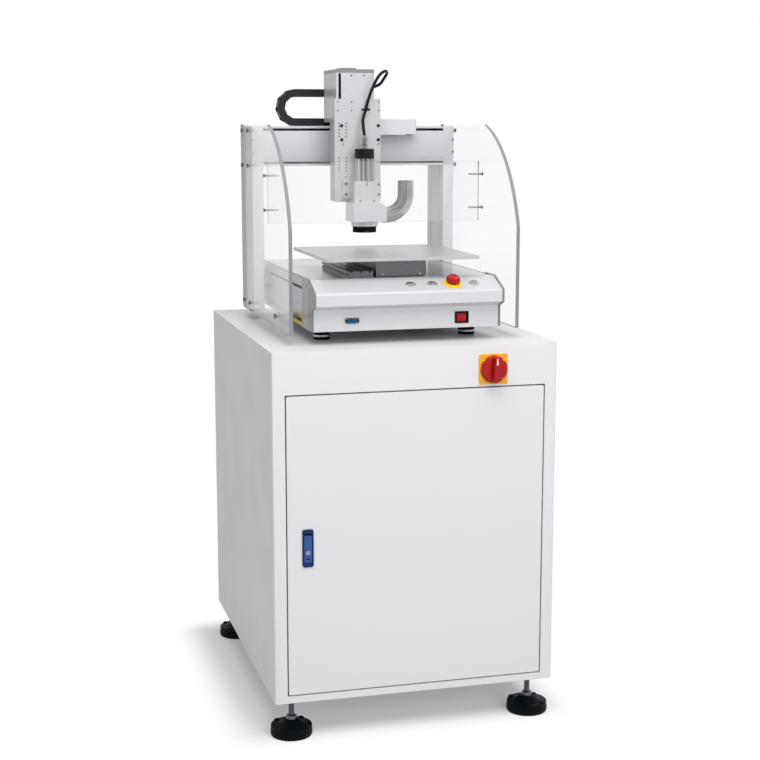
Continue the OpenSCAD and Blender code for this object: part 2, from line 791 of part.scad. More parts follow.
// Grooved side extrusions
module base_sides() {
  color("silver") placed()
    for (s = [-1, 1])
      mirror([s > 0 ? 0 : 1, 0, 0]) difference() {
        block(side_x - side_t, side_x, slope_y + 25, base_rear, z_base, z_deck - top_t);
        for (z = [z_deck - 24, z_base + 12])
          block(side_x - 4, side_x + 1, slope_y + 20, base_rear + 1, z - 3, z + 3);
        block(side_x - side_t - 1, side_x - 5, slope_y + 20, base_rear + 1, z_base + 34,
          z_deck - 40);
      }
}

module base_top() {
  color("gainsboro") placed() difference() {
    block(-side_x, side_x, slope_y + 24.5, base_rear, z_deck - top_t, z_deck);
    for (s = [-1, 1])
      block(s * rail_x - leg_t / 2 - 2, s * rail_x + leg_t / 2 + 2, slot_front,
        slot_front + y_travel + 192, z_deck - 10, z_deck + 1);
  }
}

module base_tray() {
  inner = side_x - side_t;
  color("darkgray") placed() difference() {
    union() {
      block(-inner, inner, slope_y + 24.5, base_rear, z_base, z_base + 3);
      block(-inner, inner, base_rear - 4, base_rear, z_base, z_deck - top_t);
    }
    for (i = [0 : 5])
      block(-110 + i * 40, -90 + i * 40, base_rear - 10, base_rear + 10, z_base + 40, z_base + 46);
  }
}

// Rails on their beams inside the base, and a grooved bar on the deck for the position switches
module y_rails() {
  color("dimgray") placed() {
    for (s = [-1, 1])
      union() {
        block(s * rail_x - rail_w / 2, s * rail_x + rail_w / 2, slot_front - 10,
          base_rear - 6, rail_top - rail_hh, rail_top);
        block(s * rail_x - 12, s * rail_x + 12, slot_front - 10, base_rear - 6,
          z_base + 3, rail_top - rail_hh);
      }
    switch_bar();
  }
}

module switch_bar() {
  x1 = switch_bar_x0 + switch_bar_w;
  y0 = carriage_y0 - 5;
  y1 = y0 + 255;
  z1 = z_deck + switch_bar_h;
  difference() {
    block(switch_bar_x0, x1, y0, y1, z_deck, z1);
    block(switch_bar_x0 - 1, switch_bar_x0 + 3, y0 - 1, y1 + 1, z_deck + 5, z_deck + 9);
    for (x = [switch_bar_x0 + 5, switch_bar_x0 + 25, x1 - 9])
      block(x, x + 4, y0 - 1, y1 + 1, z1 - 3, z1 + 1);
  }
}

module y_drive() {
  inner_hw = rail_x - 14;
  color("darkgray") placed() union() {
    bar_y(slot_front - 20, drive_box_y, 0, y_screw_z, screw_d);
    difference() {
      block(-motor_w / 2 + 8, motor_w / 2 - 8, slot_front - 34, slot_front - 14,
        z_base + 3, y_screw_z + 13);
      bar_y(slot_front - 30, slot_front, 0, y_screw_z, screw_d);
    }
    block(-inner_hw, inner_hw, drive_box_y, base_rear - 6, z_base + 3, z_deck - top_t - 2);
  }
}

module y_carriage() {
  z0 = z_deck + 1;
  x0 = carriage_right - carriage_w / 2;
  x1 = x0 + carriage_w;
  y1 = carriage_y0 + carriage_len;
  r = 7;
  color("darkgray") placed() union() {
    block(x0 - 20, x1 + 20, carriage_y0 + 3, y1, z_table - 4, z_table);
    block(x0, x0 + 4, carriage_y0 + 3, y1, z0, z_table - 3);
    block(x1 - 4, x1, carriage_y0 + 3, y1, z0, z_table - 3);
    front_plate(carriage_y0, carriage_y0 + 4)
      polygon([[x0, z0], [x1, z0],
        for (a = [0 : 15 : 90]) [x1 - r + r * cos(a), z_table - r + r * sin(a)],
        for (a = [90 : 15 : 180]) [x0 + r + r * cos(a), z_table - r + r * sin(a)]]);
    block(x0, x1, y1 - 4, y1, z0, z_table - 3);
    for (s = [-1, 1]) {
      block(s * rail_x - leg_t / 2, s * rail_x + leg_t / 2, slot_front + 4, slot_front + 184,
        rail_top + 4, z_table - 3);
      difference() {
        block(s * rail_x - 12, s * rail_x + 12, slot_front + 4, slot_front + 184,
          rail_top - 8, rail_top + 22);
        block(s * rail_x - rail_w / 2 - run_gap, s * rail_x + rail_w / 2 + run_gap,
          slot_front, slot_front + 190, rail_top - 9, rail_top + run_gap);
      }
    }
    difference() {
      block(11 - rail_x, rail_x - 11, slot_front + 80, slot_front + 110, y_screw_z - 10,
        rail_top + 22);
      bar_y(slot_front, slot_front + 200, 0, y_screw_z, screw_d + 2 * run_gap);
    }
  }
}

module table_plate() {
  nx = floor((table_w - 24) / hole_pitch);
  ny = floor((table_d - 24) / hole_pitch);
  color("silver") placed() difference() {
    upright_block(-table_left - table_w / 2, table_w / 2 - table_left, table_y0, table_y0 + table_d,
      z_table, z_table + table_t, 3);
    for (i = [0 : nx], j = [0 : ny])
      translate([(i - nx / 2) * hole_pitch - table_left,
        table_y0 + table_d / 2 + (j - ny / 2) * hole_pitch, z_table - 1])
        cylinder(h = table_t + 2, d = hole_d, $fn = 16);
  }
}

// ---------- Gantry ----------

module post(s) {
  mirror([s > 0 ? 0 : 1, 0, 0]) difference() {
    upright_block(post_in, post_out, gantry_y, gantry_y + post_d, z_post, z_beam_top, 2);
    for (y = [gantry_y + 25, gantry_y + post_d - 12])
      block(post_in - 1, post_in + 3, y - 1.5, y + 1.5, z_post - 1, z_beam);
    for (i = [0 : 2])
      block(post_out - 2, post_out + 1, gantry_y + 34 + 18 * i, gantry_y + 38 + 18 * i,
        z_deck - 31, z_deck - 17);
  }
}

module post_left() {
  color("silver") placed() post(-1);
}

// The right post carries the upright cable duct behind it
module post_right() {
  color("silver") placed() union() {
    post(1);
    block(post_in + 1, post_in + 20, beam_back, beam_back + 22, z_base, z_beam_top - 8);
  }
}

module post_spacers() {
  color("darkgray") placed()
    for (s = [-1, 1], z = [z_base + 18, z_deck - 50])
      mirror([s > 0 ? 0 : 1, 0, 0])
        block(side_x, post_in, gantry_y + 12, base_rear - 6, z, z + 32);
}

module x_beam() {
  color("silver") placed() difference() {
    side_plate(-post_in, post_in) union() {
      difference() {
        translate([gantry_y, z_beam]) square([post_d, beam_h]);
        translate([gantry_y - 1, z_beam + beam_wall])
          square([post_d - beam_wall + 1, beam_h - 2 * beam_wall]);
      }
      translate([beam_back - beam_wall - 2, x_rail_low - 8]) square([4, 16]);
      translate([beam_back - beam_wall - 2, x_rail_high - 8]) square([4, 16]);
    }
    for (x = [-150 : 50 : 150])
      bar_y(beam_back - 8, beam_back + 1, x, z_beam + 14, 6);
  }
  color("silver") placed() chain_stop();
}

// Bracket on the beam that holds the drag chain's fixed end
module chain_stop() {
  block(chain_fixed_x + fit, chain_fixed_x + 26, chain_y0, chain_y0 + chain_w,
    z_beam_top - eps, z_beam_top + 5);
  block(chain_fixed_x + fit, chain_fixed_x + 4, chain_y0, chain_y0 + chain_w,
    z_beam_top - eps, chain_z0 + chain_h - 2);
}

module x_beam_cover() {
  color("gainsboro") placed() difference() {
    block(-post_in, post_in, cover_y, cover_y + cover_t, cover_low, cover_top);
    block(-post_in - 1, post_in + 1, cover_y - 1, cover_y + 0.8, cover_low + 4, cover_low + 5);
    block(-post_in - 1, post_in + 1, cover_y - 1, cover_y + 0.8, cover_low + 8, cover_low + 9);
  }
}

module x_rails() {
  color("silver") placed()
    for (z = [x_rail_low, x_rail_high])
      block(-post_in + 6, post_in - 64, x_rail_y - 2 - x_rail_hh, x_rail_y - 2, z - 6, z + 6);
}

module x_drive() {
  color("darkgray") placed() union() {
    bar_x(-post_in + 4, post_in - 60, x_screw_y, x_screw_z, screw_d);
    block(post_in - 60, post_in, x_screw_y - 27, x_screw_y + 27, x_screw_z - 27, x_screw_z + 27);
    block(-post_in, -post_in + 5, x_screw_y - 14, x_screw_y + 14, x_screw_z - 14, x_screw_z + 14);
  }
}

// The carriage's front plate, with arms that reach through the slots to the blocks on the rails
module x_carriage() {
  x0 = head_x + 14 - xplate_w / 2;
  x1 = x0 + xplate_w;
  arm_t = slot_h - 2;
  inner_y0 = x_rail_y - 2 - x_rail_hh - 24;
  color("gainsboro") placed() union() {
    block(x0, x1, xplate_y, xplate_y + xplate_t, z_beam - 40, zbox_step);
    for (z = [cover_low - slot_h / 2, cover_top + slot_h / 2 + 0.25])
      block(x0 + 8, x1 - 8, xplate_y + xplate_t - eps, inner_y0 + 8, z - arm_t / 2, z + arm_t / 2);
    block(x0 + 8, x1 - 8, inner_y0, inner_y0 + 8, cover_low - slot_h / 2 - arm_t / 2,
      cover_top + slot_h / 2 + 0.25 + arm_t / 2);
    for (z = [x_rail_low, x_rail_high], x = [x0 + 30, x1 - 30])
      difference() {
        block(x - 20, x + 20, inner_y0 + 8 - eps, x_rail_y - 6, z - 13, z + 13);
        block(x - 21, x + 21, x_rail_y - 2 - x_rail_hh - run_gap, x_rail_y, z - 6 - run_gap,
          z + 6 + run_gap);
      }
    difference() {
      block(x0 + 40, x1 - 40, x_screw_y - 12, inner_y0 + eps, x_screw_z - 12, x_screw_z + 12);
      bar_x(x0, x1, x_screw_y, x_screw_z, screw_d + 2 * run_gap);
    }
    difference() {
      block(x1 - eps, head_x + 132, xplate_y - 18, xplate_y + xplate_t, z_beam_top - 20,
        z_beam_top + 16);
      block(x1 + 3, head_x + 129, xplate_y - 15, xplate_y + xplate_t + 1, z_beam_top - 21,
        z_beam_top + 13);
    }
    upright_block(head_x + 132 - eps, head_x + 161, xplate_y - 10, xplate_y + xplate_t,
      z_beam_top - 18, z_beam_top + 16, 3);
  }
}

// ---------- Z axis ----------

module z_housing() {
  w = zbox_wall;
  color("gainsboro") placed() difference() {
    union() {
      block(zbox_x0, zbox_x1, zbox_y, xplate_y, zbox_z, zbox_top);
      block(zbox_x0, zbox_x1, zbox_y, zbox_y + zbox_top_d, zbox_step, zbox_top);
      block(zbox_x0 + 8, chain_end_x, zbox_y + zbox_top_d - 1, chain_y0 + chain_w,
        chain_top_z - 3, chain_top_z);
    }
    block(zbox_x0 + w, zbox_x1 - w, zbox_y + w, xplate_y - w, zbox_z + w, zbox_top + 1);
    block(zbox_x0 + w, zbox_x1 - w, zbox_y + w, zbox_y + zbox_top_d - w, zbox_step + w,
      zbox_top + 1);
    block(zslot_x0, zslot_x0 + zslot_w, zbox_y - 1, zbox_y + w + 1, zbox_z + 16, zbox_top - 2);
    bar_x(zbox_x1 - w - 1, zbox_x1 + 1, cable_end[1], cable_end[2], 12.4);
  }
}

module z_top_cap() {
  color("darkgray") placed() difference() {
    union() {
      block(zbox_x0, zbox_x1, zbox_y, zbox_y + zbox_top_d, zbox_top, zbox_top + zcap_h - 3);
      block(zbox_x0 + 14, zbox_x0 + 48, zbox_y + 2, zbox_y + 60, zbox_top, zbox_top + zcap_h);
    }
    for (x = [zbox_x0 + 8, zbox_x1 - 8], y = [zbox_y + 10, zbox_y + zbox_top_d - 10])
      bar_z(zbox_top + zcap_h - 5, zbox_top + zcap_h + 1, x, y, 4);
  }
}

module z_drive() {
  color("silver") placed() union() {
    block(zrail_x - 6, zrail_x + 6, zrail_y - 8, zrail_y, zbox_z + 10, zbox_top - 72);
    bar_z(zbox_z + zbox_wall, zbox_top - 62, zrail_x + 30, zrail_y - 18, screw_d - 2);
    block(zrail_x - 14, zrail_x + 42, zrail_y - 44, zrail_y, zbox_top - 62, zbox_top - 6);
    bar_x(zbox_x1 + eps, zbox_x1 + 8, cable_end[1], cable_end[2], 14);
    bar_x(zbox_x1 - zbox_wall - 6, zbox_x1 + 1, cable_end[1], cable_end[2], 11.8);
  }
}

// The moving plate, with an arm through the housing's slot to the block on the rail
module z_plate() {
  arm_x0 = zslot_x0 + 1.5;
  arm_x1 = zslot_x0 + zslot_w - 1.5;
  color("gainsboro") placed() difference() {
    union() {
      front_plate(plate_face, zplate_y)
        rounded_area(zplate_x0, zplate_x1, zbox_z, zplate_top, 3);
      block(arm_x0, arm_x1, zplate_y - eps, zrail_y - 20, zbox_z + 60, zbox_z + 170);
      difference() {
        block(arm_x0, zrail_x + 17, zrail_y - 28, zrail_y - 3, zbox_z + 60, zbox_z + 170);
        block(zrail_x - 6 - run_gap, zrail_x + 6 + run_gap, zrail_y - 8 - run_gap, zrail_y,
          zbox_z + 50, zbox_z + 180);
      }
      difference() {
        block(zrail_x + 16, zrail_x + 41, zrail_y - 28, zrail_y - 9, zbox_z + 100, zbox_z + 130);
        bar_z(zbox_z, zbox_top, zrail_x + 30, zrail_y - 18, screw_d - 2 + 2 * run_gap);
      }
    }
    for (z = [zplate_top - 7, zplate_top - 26], x = [zplate_x0 + 8, zplate_x0 + 41, zplate_x1 - 4])
      bar_y(plate_face - 1, plate_face + 7, x, z, 3.3);
    for (z = [zbox_z + 150, zbox_z + 71], i = [0 : 4], x = [zplate_x0 + 11, zplate_x0 + 27.5])
      bar_y(plate_face - 1, plate_face + 8, x, z + 7.4 * i, 3.3);
    for (x = [zplate_x0 + 17, zplate_x1 - 5], z = [zplate_top - 61, zplate_top - 93])
      bar_y(plate_face - 1, plate_face + 3, x, z, 8);
  }
}

// ---------- Spindle ----------

module spindle_clamp() {
  x0 = spin_x - clamp_w / 2;
  x1 = spin_x + clamp_w / 2;
  color("lightgray") placed() difference() {
    union() {
      block(x0, x1, clamp_y0, plate_face, clamp_z, clamp_z + clamp_h);
      block(spin_x - 45.5, spin_x + 45.5, plate_face - flange_t, plate_face, clamp_z - 2,
        clamp_z + clamp_h);
    }
    bar_z(clamp_z - 5, clamp_z + clamp_h + 1, spin_x, spin_y, spindle_d + 2 * turn_fit);
    block(spin_x - 1, spin_x + 1, clamp_y0 - 1, spin_y, clamp_z + clamp_h - 10 - eps,
      clamp_z + clamp_h + 1);
    for (x = [-38, 38], z = [clamp_z + 7, clamp_z + clamp_h - 7])
      bar_y(plate_face - 10, plate_face + 1, spin_x + x, z, 5.5);
  }
}

module spindle_body() {
  color("silver") placed() translate([spin_x, spin_y, 0]) difference() {
    union() {
      translate([0, 0, spindle_z + 6]) cylinder(h = spindle_h - 6, d = spindle_d);
      translate([0, 0, spindle_z]) cylinder(h = 6 + eps, d = spindle_d - 8);
      translate([0, 0, spindle_z - 12]) cylinder(h = 12 + eps, d = 28);
    }
    translate([0, 0, spindle_z - 13]) cylinder(h = 40, d = 16 + 2 * turn_fit);
  }
}

module spindle_cap() {
  z0 = spincap_z + spincap_h;
  color("black") placed() translate([spin_x, spin_y, 0]) union() {
    translate([0, 0, spincap_z]) cylinder(h = spincap_h - 1.5, d = spindle_d);
    translate([0, 0, z0 - 1.5]) cylinder(h = 1.5, d1 = spindle_d, d2 = spindle_d - 3);
    translate([0, 0, z0 - eps]) cylinder(h = 11, d = 16);
    translate([0, 0, z0 + 10]) cylinder(h = 14, d = 11);
    translate([0, 0, z0 + 24 - eps]) cylinder(h = 7, d = 13, $fn = 6);
  }
}

module spindle_shaft() {
  color("silver") placed() translate([spin_x, spin_y, 0]) union() {
    translate([0, 0, spindle_z - 12]) cylinder(h = 36, d = 16);
    translate([0, 0, spindle_z - 22]) cylinder(h = 10 + eps, d = 12);
    translate([0, 0, spindle_z - 34]) cylinder(h = 12 + eps, d = 19, $fn = 24);
    translate([0, 0, spindle_z - 38]) cylinder(h = 4 + eps, d1 = 13, d2 = 18);
    translate([0, 0, brush_z + 2]) cylinder(h = spindle_z - 38 - brush_z - 2 + eps, d = bit_d);
  }
}

// Collar under the clamp, hollow box round the tool, and the ring that carries the brush
module dust_shroud() {
  x0 = spin_x - shroud_w / 2;
  x1 = spin_x + shroud_w / 2 + 3;
  w = shroud_wall;
  z1 = shroud_z + shroud_h;
  color("lightgray") placed() difference() {
    union() {
      block(spin_x - clamp_w / 2, spin_x + clamp_w / 2, clamp_y0, plate_face - flange_t - fit, z1 - eps, clamp_z - fit);
      front_plate(shroud_y0, shroud_y1 - fit)
        polygon([[x0, shroud_z], [x0, z1], [spin_x + clamp_w / 2, z1], [x1, z1 - 9],
          [x1, shroud_z]]);
      translate([spin_x, spin_y, ring_z]) cylinder(h = ring_h + eps, d = ring_d, $fn = 64);
    }
    front_plate(shroud_y0 + w, shroud_y1 - w)
      polygon([[x0 + w, shroud_z + w], [x0 + w, z1 - w], [spin_x + clamp_w / 2 - 2, z1 - w],
        [x1 - w, z1 - 9 - w / 2], [x1 - w, shroud_z + w]]);
    bar_z(ring_z - 1, shroud_z + w + 1, spin_x, spin_y, ring_d - 16);
    bar_z(z1 - w - 1, clamp_z + 1, spin_x, spin_y, spindle_d + 2 * fit);
    bar_x(x1 - w - 1, x1 + 1, tube_y, tube_z, tube_d - 4);
  }
}

module brush_ring() {
  color("black") placed() translate([spin_x, spin_y, 0]) difference() {
    union() {
      translate([0, 0, brush_z]) cylinder(h = brush_h - 3 + eps, d1 = brush_d + 2, d2 = brush_d - 1);
      translate([0, 0, ring_z - 3]) cylinder(h = 3, d = brush_d);
    }
    translate([0, 0, brush_z - 1]) cylinder(h = brush_h + 2, d = ring_d - 16);
  }
}

// Polished tube from the shroud's side, bent upright, open at its top for the suction hose
module suction_elbow() {
  x1 = tube_x0 + tube_run;
  color("silver") placed() translate([0, tube_y, 0]) union() {
    translate([tube_x0, 0, tube_z]) rotate([0, 90, 0]) pipe(tube_run);
    translate([x1, 0, tube_z + tube_bend])
      rotate([90, 0, 0])
        rotate([0, 0, -90])
          rotate_extrude(angle = 90, $fn = 96)
            translate([tube_bend, 0]) difference() {
              circle(d = tube_d);
              circle(d = tube_d - 2 * tube_wall);
            }
    translate([x1 + tube_bend, 0, tube_z + tube_bend]) pipe(tube_up);
  }
}

module pipe(len) {
  difference() {
    cylinder(h = len, d = tube_d);
    translate([0, 0, -1]) cylinder(h = len + 2, d = tube_d - 2 * tube_wall);
  }
}

// ---------- Cable and drag chain ----------

// Points of a smooth curve through the route, k steps to a stretch
function spline(p, k) = [
  for (i = [0 : len(p) - 2], s = [0 : k - 1])
    let (t = s / k, a = p[max(i - 1, 0)], b = p[i], c = p[i + 1], d = p[min(i + 2, len(p) - 1)])
    0.5 * (2 * b + (c - a) * t + (2 * a - 5 * b + 4 * c - d) * t * t
      + (3 * b - a - 3 * c + d) * t * t * t),
  p[len(p) - 1]
];
function unit(v) = v / norm(v);
function heading(p, i) = i == 0 ? [0, 0, 1] : i == len(p) - 1 ? [-1, 0, 0] : unit(p[i + 1] - p[i - 1]);
function side_of(h) = unit(cross(h, [0.1, -1, 0.2]));
function ring_of(p, i, r, n) =
  let (h = heading(p, i), u = side_of(h), v = cross(h, u))
  [for (k = [0 : n - 1]) p[i] + r * (cos(360 * k / n) * u + sin(360 * k / n) * v)];

module swept_tube(p, r, n) {
  m = len(p);
  points = [for (i = [0 : m - 1]) each ring_of(p, i, r, n)];
  sides = [for (i = [0 : m - 2], k = [0 : n - 1])
    [i * n + k, i * n + (k + 1) % n, (i + 1) * n + (k + 1) % n, (i + 1) * n + k]];
  ends = [[for (k = [n - 1 : -1 : 0]) k], [for (k = [0 : n - 1]) (m - 1) * n + k]];
  polyhedron(points = points, faces = concat([for (f = sides) [f[3], f[2], f[1], f[0]]],
    [for (f = ends) [for (k = [len(f) - 1 : -1 : 0]) f[k]]]));
}

module spindle_cable() {
  color("black") placed() swept_tube(spline(cable_route, 3), cable_d / 2, 10);
}

// A straight run of links, open between their crossbars
module chain_run(x0, x1, z) {
  y1 = chain_y0 + chain_w;
  n = max(1, round((x1 - x0) / link_pitch));
  step = (x1 - x0) / n;
  difference() {
    block(x0, x1, chain_y0, y1, z, z + chain_h);
    block(x0 - 1, x1 + 1, chain_y0 + chain_wall, y1 - chain_wall, z + chain_wall,
      z + chain_h - chain_wall);
    for (i = [0 : n - 1])
      for (zz = [z - 1, z + chain_h - chain_wall - 0.1])
        block(x0 + i * step - 2, x0 + i * step + 2, chain_y0 + chain_wall, y1 - chain_wall, zz,
          zz + chain_wall + 1.1);
  }
}

module chain_lower() {
  color("black") placed() chain_run(-chain_left, chain_fixed_x, chain_z0);
}

module chain_upper() {
  color("black") placed() chain_run(-chain_left, chain_end_x, chain_top_z);
}

// Outline in X and Z of the links that turn round the bend, between the radii r0 and r1
module bend_links(r0, r1) {
  turns = [90, 114, 150, 186, 222, 258, 270];
  translate([-chain_left, chain_mid])
    polygon([for (a = turns) [r1 * cos(a), r1 * sin(a)],
      for (i = [1 : len(turns)])
        let (a = turns[len(turns) - i])
        [r0 * cos(a), r0 * sin(a)]]);
}

module chain_bend() {
  r0 = chain_bend_r - chain_h / 2;
  r1 = chain_bend_r + chain_h / 2;
  color("black") placed() difference() {
    front_plate(chain_y0, chain_y0 + chain_w) bend_links(r0, r1);
    front_plate(chain_y0 + chain_wall, chain_y0 + chain_w - chain_wall)
      bend_links(r0 + chain_wall, r1 - chain_wall);
  }
}

// ---------- Guards ----------

module guard_outline() {
  difference() {
    union() {
      polygon([[-guard_front, guard_low], [-guard_front, arc_low_z],
        for (i = [1 : 15])
          let (a0 = atan2(arc_low_z - arc_cz, -guard_front - arc_cy),
            a1 = atan2(z_guard_top - arc_cz, -guard_top_front - arc_cy),
            a = a0 + (a1 - a0) * i / 16)
          [arc_cy + guard_arc * cos(a), arc_cz + guard_arc * sin(a)],
        [-guard_top_front, z_guard_top], [guard_rear, z_guard_top],
        [guard_rear, guard_low + 8], [guard_rear - 8, guard_low]]);
    }
  }
}

module guard(s) {
  mirror([s > 0 ? 0 : 1, 0, 0]) difference() {
    side_plate(post_out, guard_x) guard_outline();
    for (y = [gantry_y + 16, guard_rear - 14],
        z = [z_beam_top - 10, z_beam + 1, z_post + 18])
      bar_x(post_out - 1, guard_x + 1, y, z, 5.4);
    for (z = [shield_z + 30, shield_z + shield_h - 30])
      bar_x(post_out - 1, guard_x + 1, -shield_y + guard_t / 2, z, 4.4);
    bar_x(post_out - 1, guard_x + 1, standoff_y, standoff_z, 6.4);
  }
}

module guard_left() {
  color("lightcyan", 0.4) placed() guard(-1);
}

module guard_right() {
  color("lightcyan", 0.4) placed() guard(1);
}

// Clear shield between the two guards, in front of the spindle
module front_shield() {
  color("lightcyan", 0.4) placed() difference() {
    block(-post_out, post_out, -shield_y, -shield_y + guard_t, shield_z, shield_z + shield_h);
    for (s = [-1, 1], z = [shield_z + 30, shield_z + shield_h - 30])
      bar_x(s * post_out - 24, s * post_out + 24, -shield_y + guard_t / 2, z, 4.2);
  }
}

// A button-head screw along X, from its head outside the guard inwards
module guard_screw(y, z, d, len) {
  bar_x(guard_x - len, guard_x + eps, y, z, d);
  bar_x(guard_x, guard_x + 2.6, y, z, d * 1.9);
}

module guard_screws() {
  color("silver") placed()
    for (s = [-1, 1])
      mirror([s > 0 ? 0 : 1, 0, 0]) {
        for (y = [gantry_y + 16, guard_rear - 14],
            z = [z_beam_top - 10, z_beam + 1, z_post + 18])
          union() {
            guard_screw(y, z, 5, guard_t);
          }
        for (z = [shield_z + 30, shield_z + shield_h - 30])
          union() {
            guard_screw(-shield_y + guard_t / 2, z, 4, guard_t + 22);
          }
        union() {
          guard_screw(standoff_y, standoff_z, 6, guard_t + 2);
          bar_x(side_x, post_out, standoff_y, standoff_z, 14);
        }
      }
}

// ---------- Controls ----------

module estop_ring() {
  color("gold") placed() on_slope(estop_x) difference() {
    union() {
      cylinder(h = 2, d = estop_ring_d);
      translate([0, 0, 2]) cylinder(h = 1, d1 = estop_ring_d, d2 = estop_ring_d - 3);
      translate([0, 0, -18]) cylinder(h = 19, d = 22);
    }
    translate([0, 0, -19]) cylinder(h = 40, d = 14 + 4 * turn_fit);
  }
}

module estop_head() {
  color("red") placed() on_slope(estop_x) union() {
    translate([0, 0, -12]) cylinder(h = 12 + estop_rise + eps, d = 14);
    translate([0, 0, estop_rise])
      rotate_extrude()
        polygon([[0, 0], [estop_d / 2 - 3, 0], [estop_d / 2 - 0.5, 2], [estop_d / 2, 5],
          [estop_d / 2 - 0.6, 8], [estop_d / 2 - 3, 10.5], [estop_d / 2 - 7, 12], [0, 12.6]]);
  }
}

module button_bezels() {
  color("silver") placed()
    for (x = [start_x, pause_x, reset_x])
      on_slope(x) difference() {
        union() {
          cylinder(h = 1.4, d = bezel_d);
          translate([0, 0, 1.4 - eps]) cylinder(h = 1, d1 = bezel_d, d2 = bezel_d - 2);
          translate([0, 0, -16]) cylinder(h = 16 + eps, d = button_d + 2);
        }
        translate([0, 0, -17]) cylinder(h = 30, d = button_d - 1 + 2 * fit);
      }
}

module button_at(x) {
  on_slope(x) translate([0, 0, -8]) cylinder(h = 8 + 2.4 + button_rise, d = button_d - 1);
}

module button_start() {
  color("silver") placed() button_at(start_x);
}

module button_pause() {
  color("silver") placed() button_at(pause_x);
}

module button_reset() {
  color("silver") placed() button_at(reset_x);
}

module rocker_bezel() {
  y0 = -base_front - 2;
  hw = rocker_w / 2;
  hh = rocker_h / 2;
  color("black") placed() difference() {
    union() {
      front_plate(y0, -base_front)
        rounded_area(rocker_x - hw, rocker_x + hw, face_z - hh, face_z + hh, 1.5);
      block(rocker_x - hw + 2.2, rocker_x + hw - 2.2, -base_front - eps, -base_front + 20,
        face_z - hh + 2.2, face_z + hh - 2.2);
    }
    block(rocker_x - hw + 3.6, rocker_x + hw - 3.6, y0 - 1, -base_front + 16,
      face_z - hh + 3.6, face_z + hh - 3.6);
  }
}

// The rocker turns on an upright pin; it rests with its left half pressed in
module rocker() {
  hw = rocker_w / 2 - 4.1;
  hh = rocker_h / 2 - 4.1;
  color("red") placed()
    translate([rocker_x, -base_front + 8, face_z - hh])
      rotate([0, 0, -6]) union() {
        linear_extrude(2 * hh) difference() {
          circle(hw);
          translate([-hw - 1, 2]) square([2 * hw + 2, hw]);
        }
        linear_extrude(2 * hh)
          polygon([[-hw * 0.98, -2], [-hw * 0.86, -11], [0, -9.4], [hw * 0.86, -11], [hw * 0.98, -2]]);
      }
}

module serial_socket() {
  y0 = -base_front - 1;
  color("steelblue") placed() union() {
    difference() {
      union() {
        front_plate(y0, -base_front)
          rounded_area(-serial_x - 15.4, -serial_x + 15.4, face_z - 6.2, face_z + 6.2, 2);
        front_plate(y0 - 5, -base_front + 8)
          polygon([[-serial_x - 8.5, face_z + 4.2], [-serial_x + 8.5, face_z + 4.2],
            [-serial_x + 7.2, face_z - 4.2], [-serial_x - 7.2, face_z - 4.2]]);
      }
      for (i = [0 : 4])
        bar_y(y0 - 6, y0 - 1, -serial_x - 5.6 + 2.8 * i, face_z + 1.5, 1);
      for (i = [0 : 3])
        bar_y(y0 - 6, y0 - 1, -serial_x - 4.2 + 2.8 * i, face_z - 1.5, 1);
    }
    for (s = [-1, 1])
      translate([-serial_x + s * 12.5, y0 + eps, face_z]) rotate([90, 0, 0])
        cylinder(h = 5, d = 5, $fn = 6);
  }
}

cabinet_shell();
rear_panel();
door();
door_pivots();
lock_body();
lock_lever();
foot_pads();
foot_stems();
isolator_plate();
isolator_body();
isolator_knob();
cabinet_shelf();
dust_collector();
mains_gland();
base_feet();
base_moulding();
base_end_caps();
base_sides();
base_top();
base_tray();
y_rails();
y_drive();
y_carriage();
table_plate();
post_left();
post_right();
post_spacers();
x_beam();
x_beam_cover();
x_rails();
x_drive();
x_carriage();
z_housing();
z_top_cap();
z_drive();
z_plate();
spindle_clamp();
spindle_body();
spindle_cap();
spindle_shaft();
dust_shroud();
brush_ring();
suction_elbow();
spindle_cable();
chain_lower();
chain_bend();
chain_upper();
guard_left();
guard_right();
front_shield();
guard_screws();
estop_ring();
estop_head();
button_bezels();
button_start();
button_pause();
button_reset();
rocker_bezel();
rocker();
serial_socket();
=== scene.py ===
import json
import math
import bmesh
import bpy
from mathutils import Matrix, Vector


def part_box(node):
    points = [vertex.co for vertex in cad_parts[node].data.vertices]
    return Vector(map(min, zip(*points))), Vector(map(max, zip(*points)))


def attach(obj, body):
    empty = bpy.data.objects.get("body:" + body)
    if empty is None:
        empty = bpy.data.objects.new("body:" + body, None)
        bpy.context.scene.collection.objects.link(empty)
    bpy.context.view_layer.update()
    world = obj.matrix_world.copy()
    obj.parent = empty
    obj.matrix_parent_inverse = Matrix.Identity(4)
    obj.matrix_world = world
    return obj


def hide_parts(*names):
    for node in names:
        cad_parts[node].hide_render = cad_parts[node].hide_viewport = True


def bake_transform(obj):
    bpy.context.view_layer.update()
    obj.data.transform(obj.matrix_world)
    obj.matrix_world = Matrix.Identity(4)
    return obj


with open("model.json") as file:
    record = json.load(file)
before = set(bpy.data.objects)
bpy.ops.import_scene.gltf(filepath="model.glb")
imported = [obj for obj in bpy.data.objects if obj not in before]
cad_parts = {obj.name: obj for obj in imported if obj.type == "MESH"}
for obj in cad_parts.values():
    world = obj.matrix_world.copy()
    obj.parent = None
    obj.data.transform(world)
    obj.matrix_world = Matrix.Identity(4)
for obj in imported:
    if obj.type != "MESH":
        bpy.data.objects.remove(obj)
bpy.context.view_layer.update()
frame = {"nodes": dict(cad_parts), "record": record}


# ---- Camera ----
# It stands in front of the cabinet and to the left of it, a little above the machine's table,
# and looks slightly down. A long lens keeps the cabinet's upright edges nearly parallel.
eye = bpy.data.cameras.new("eye")
eye.lens = 72.13
eye.sensor_width = 36.0
eye.clip_end = 60.0
camera = bpy.data.objects.new("camera", eye)
camera.location = (-0.8918, -3.3712, 1.2908)
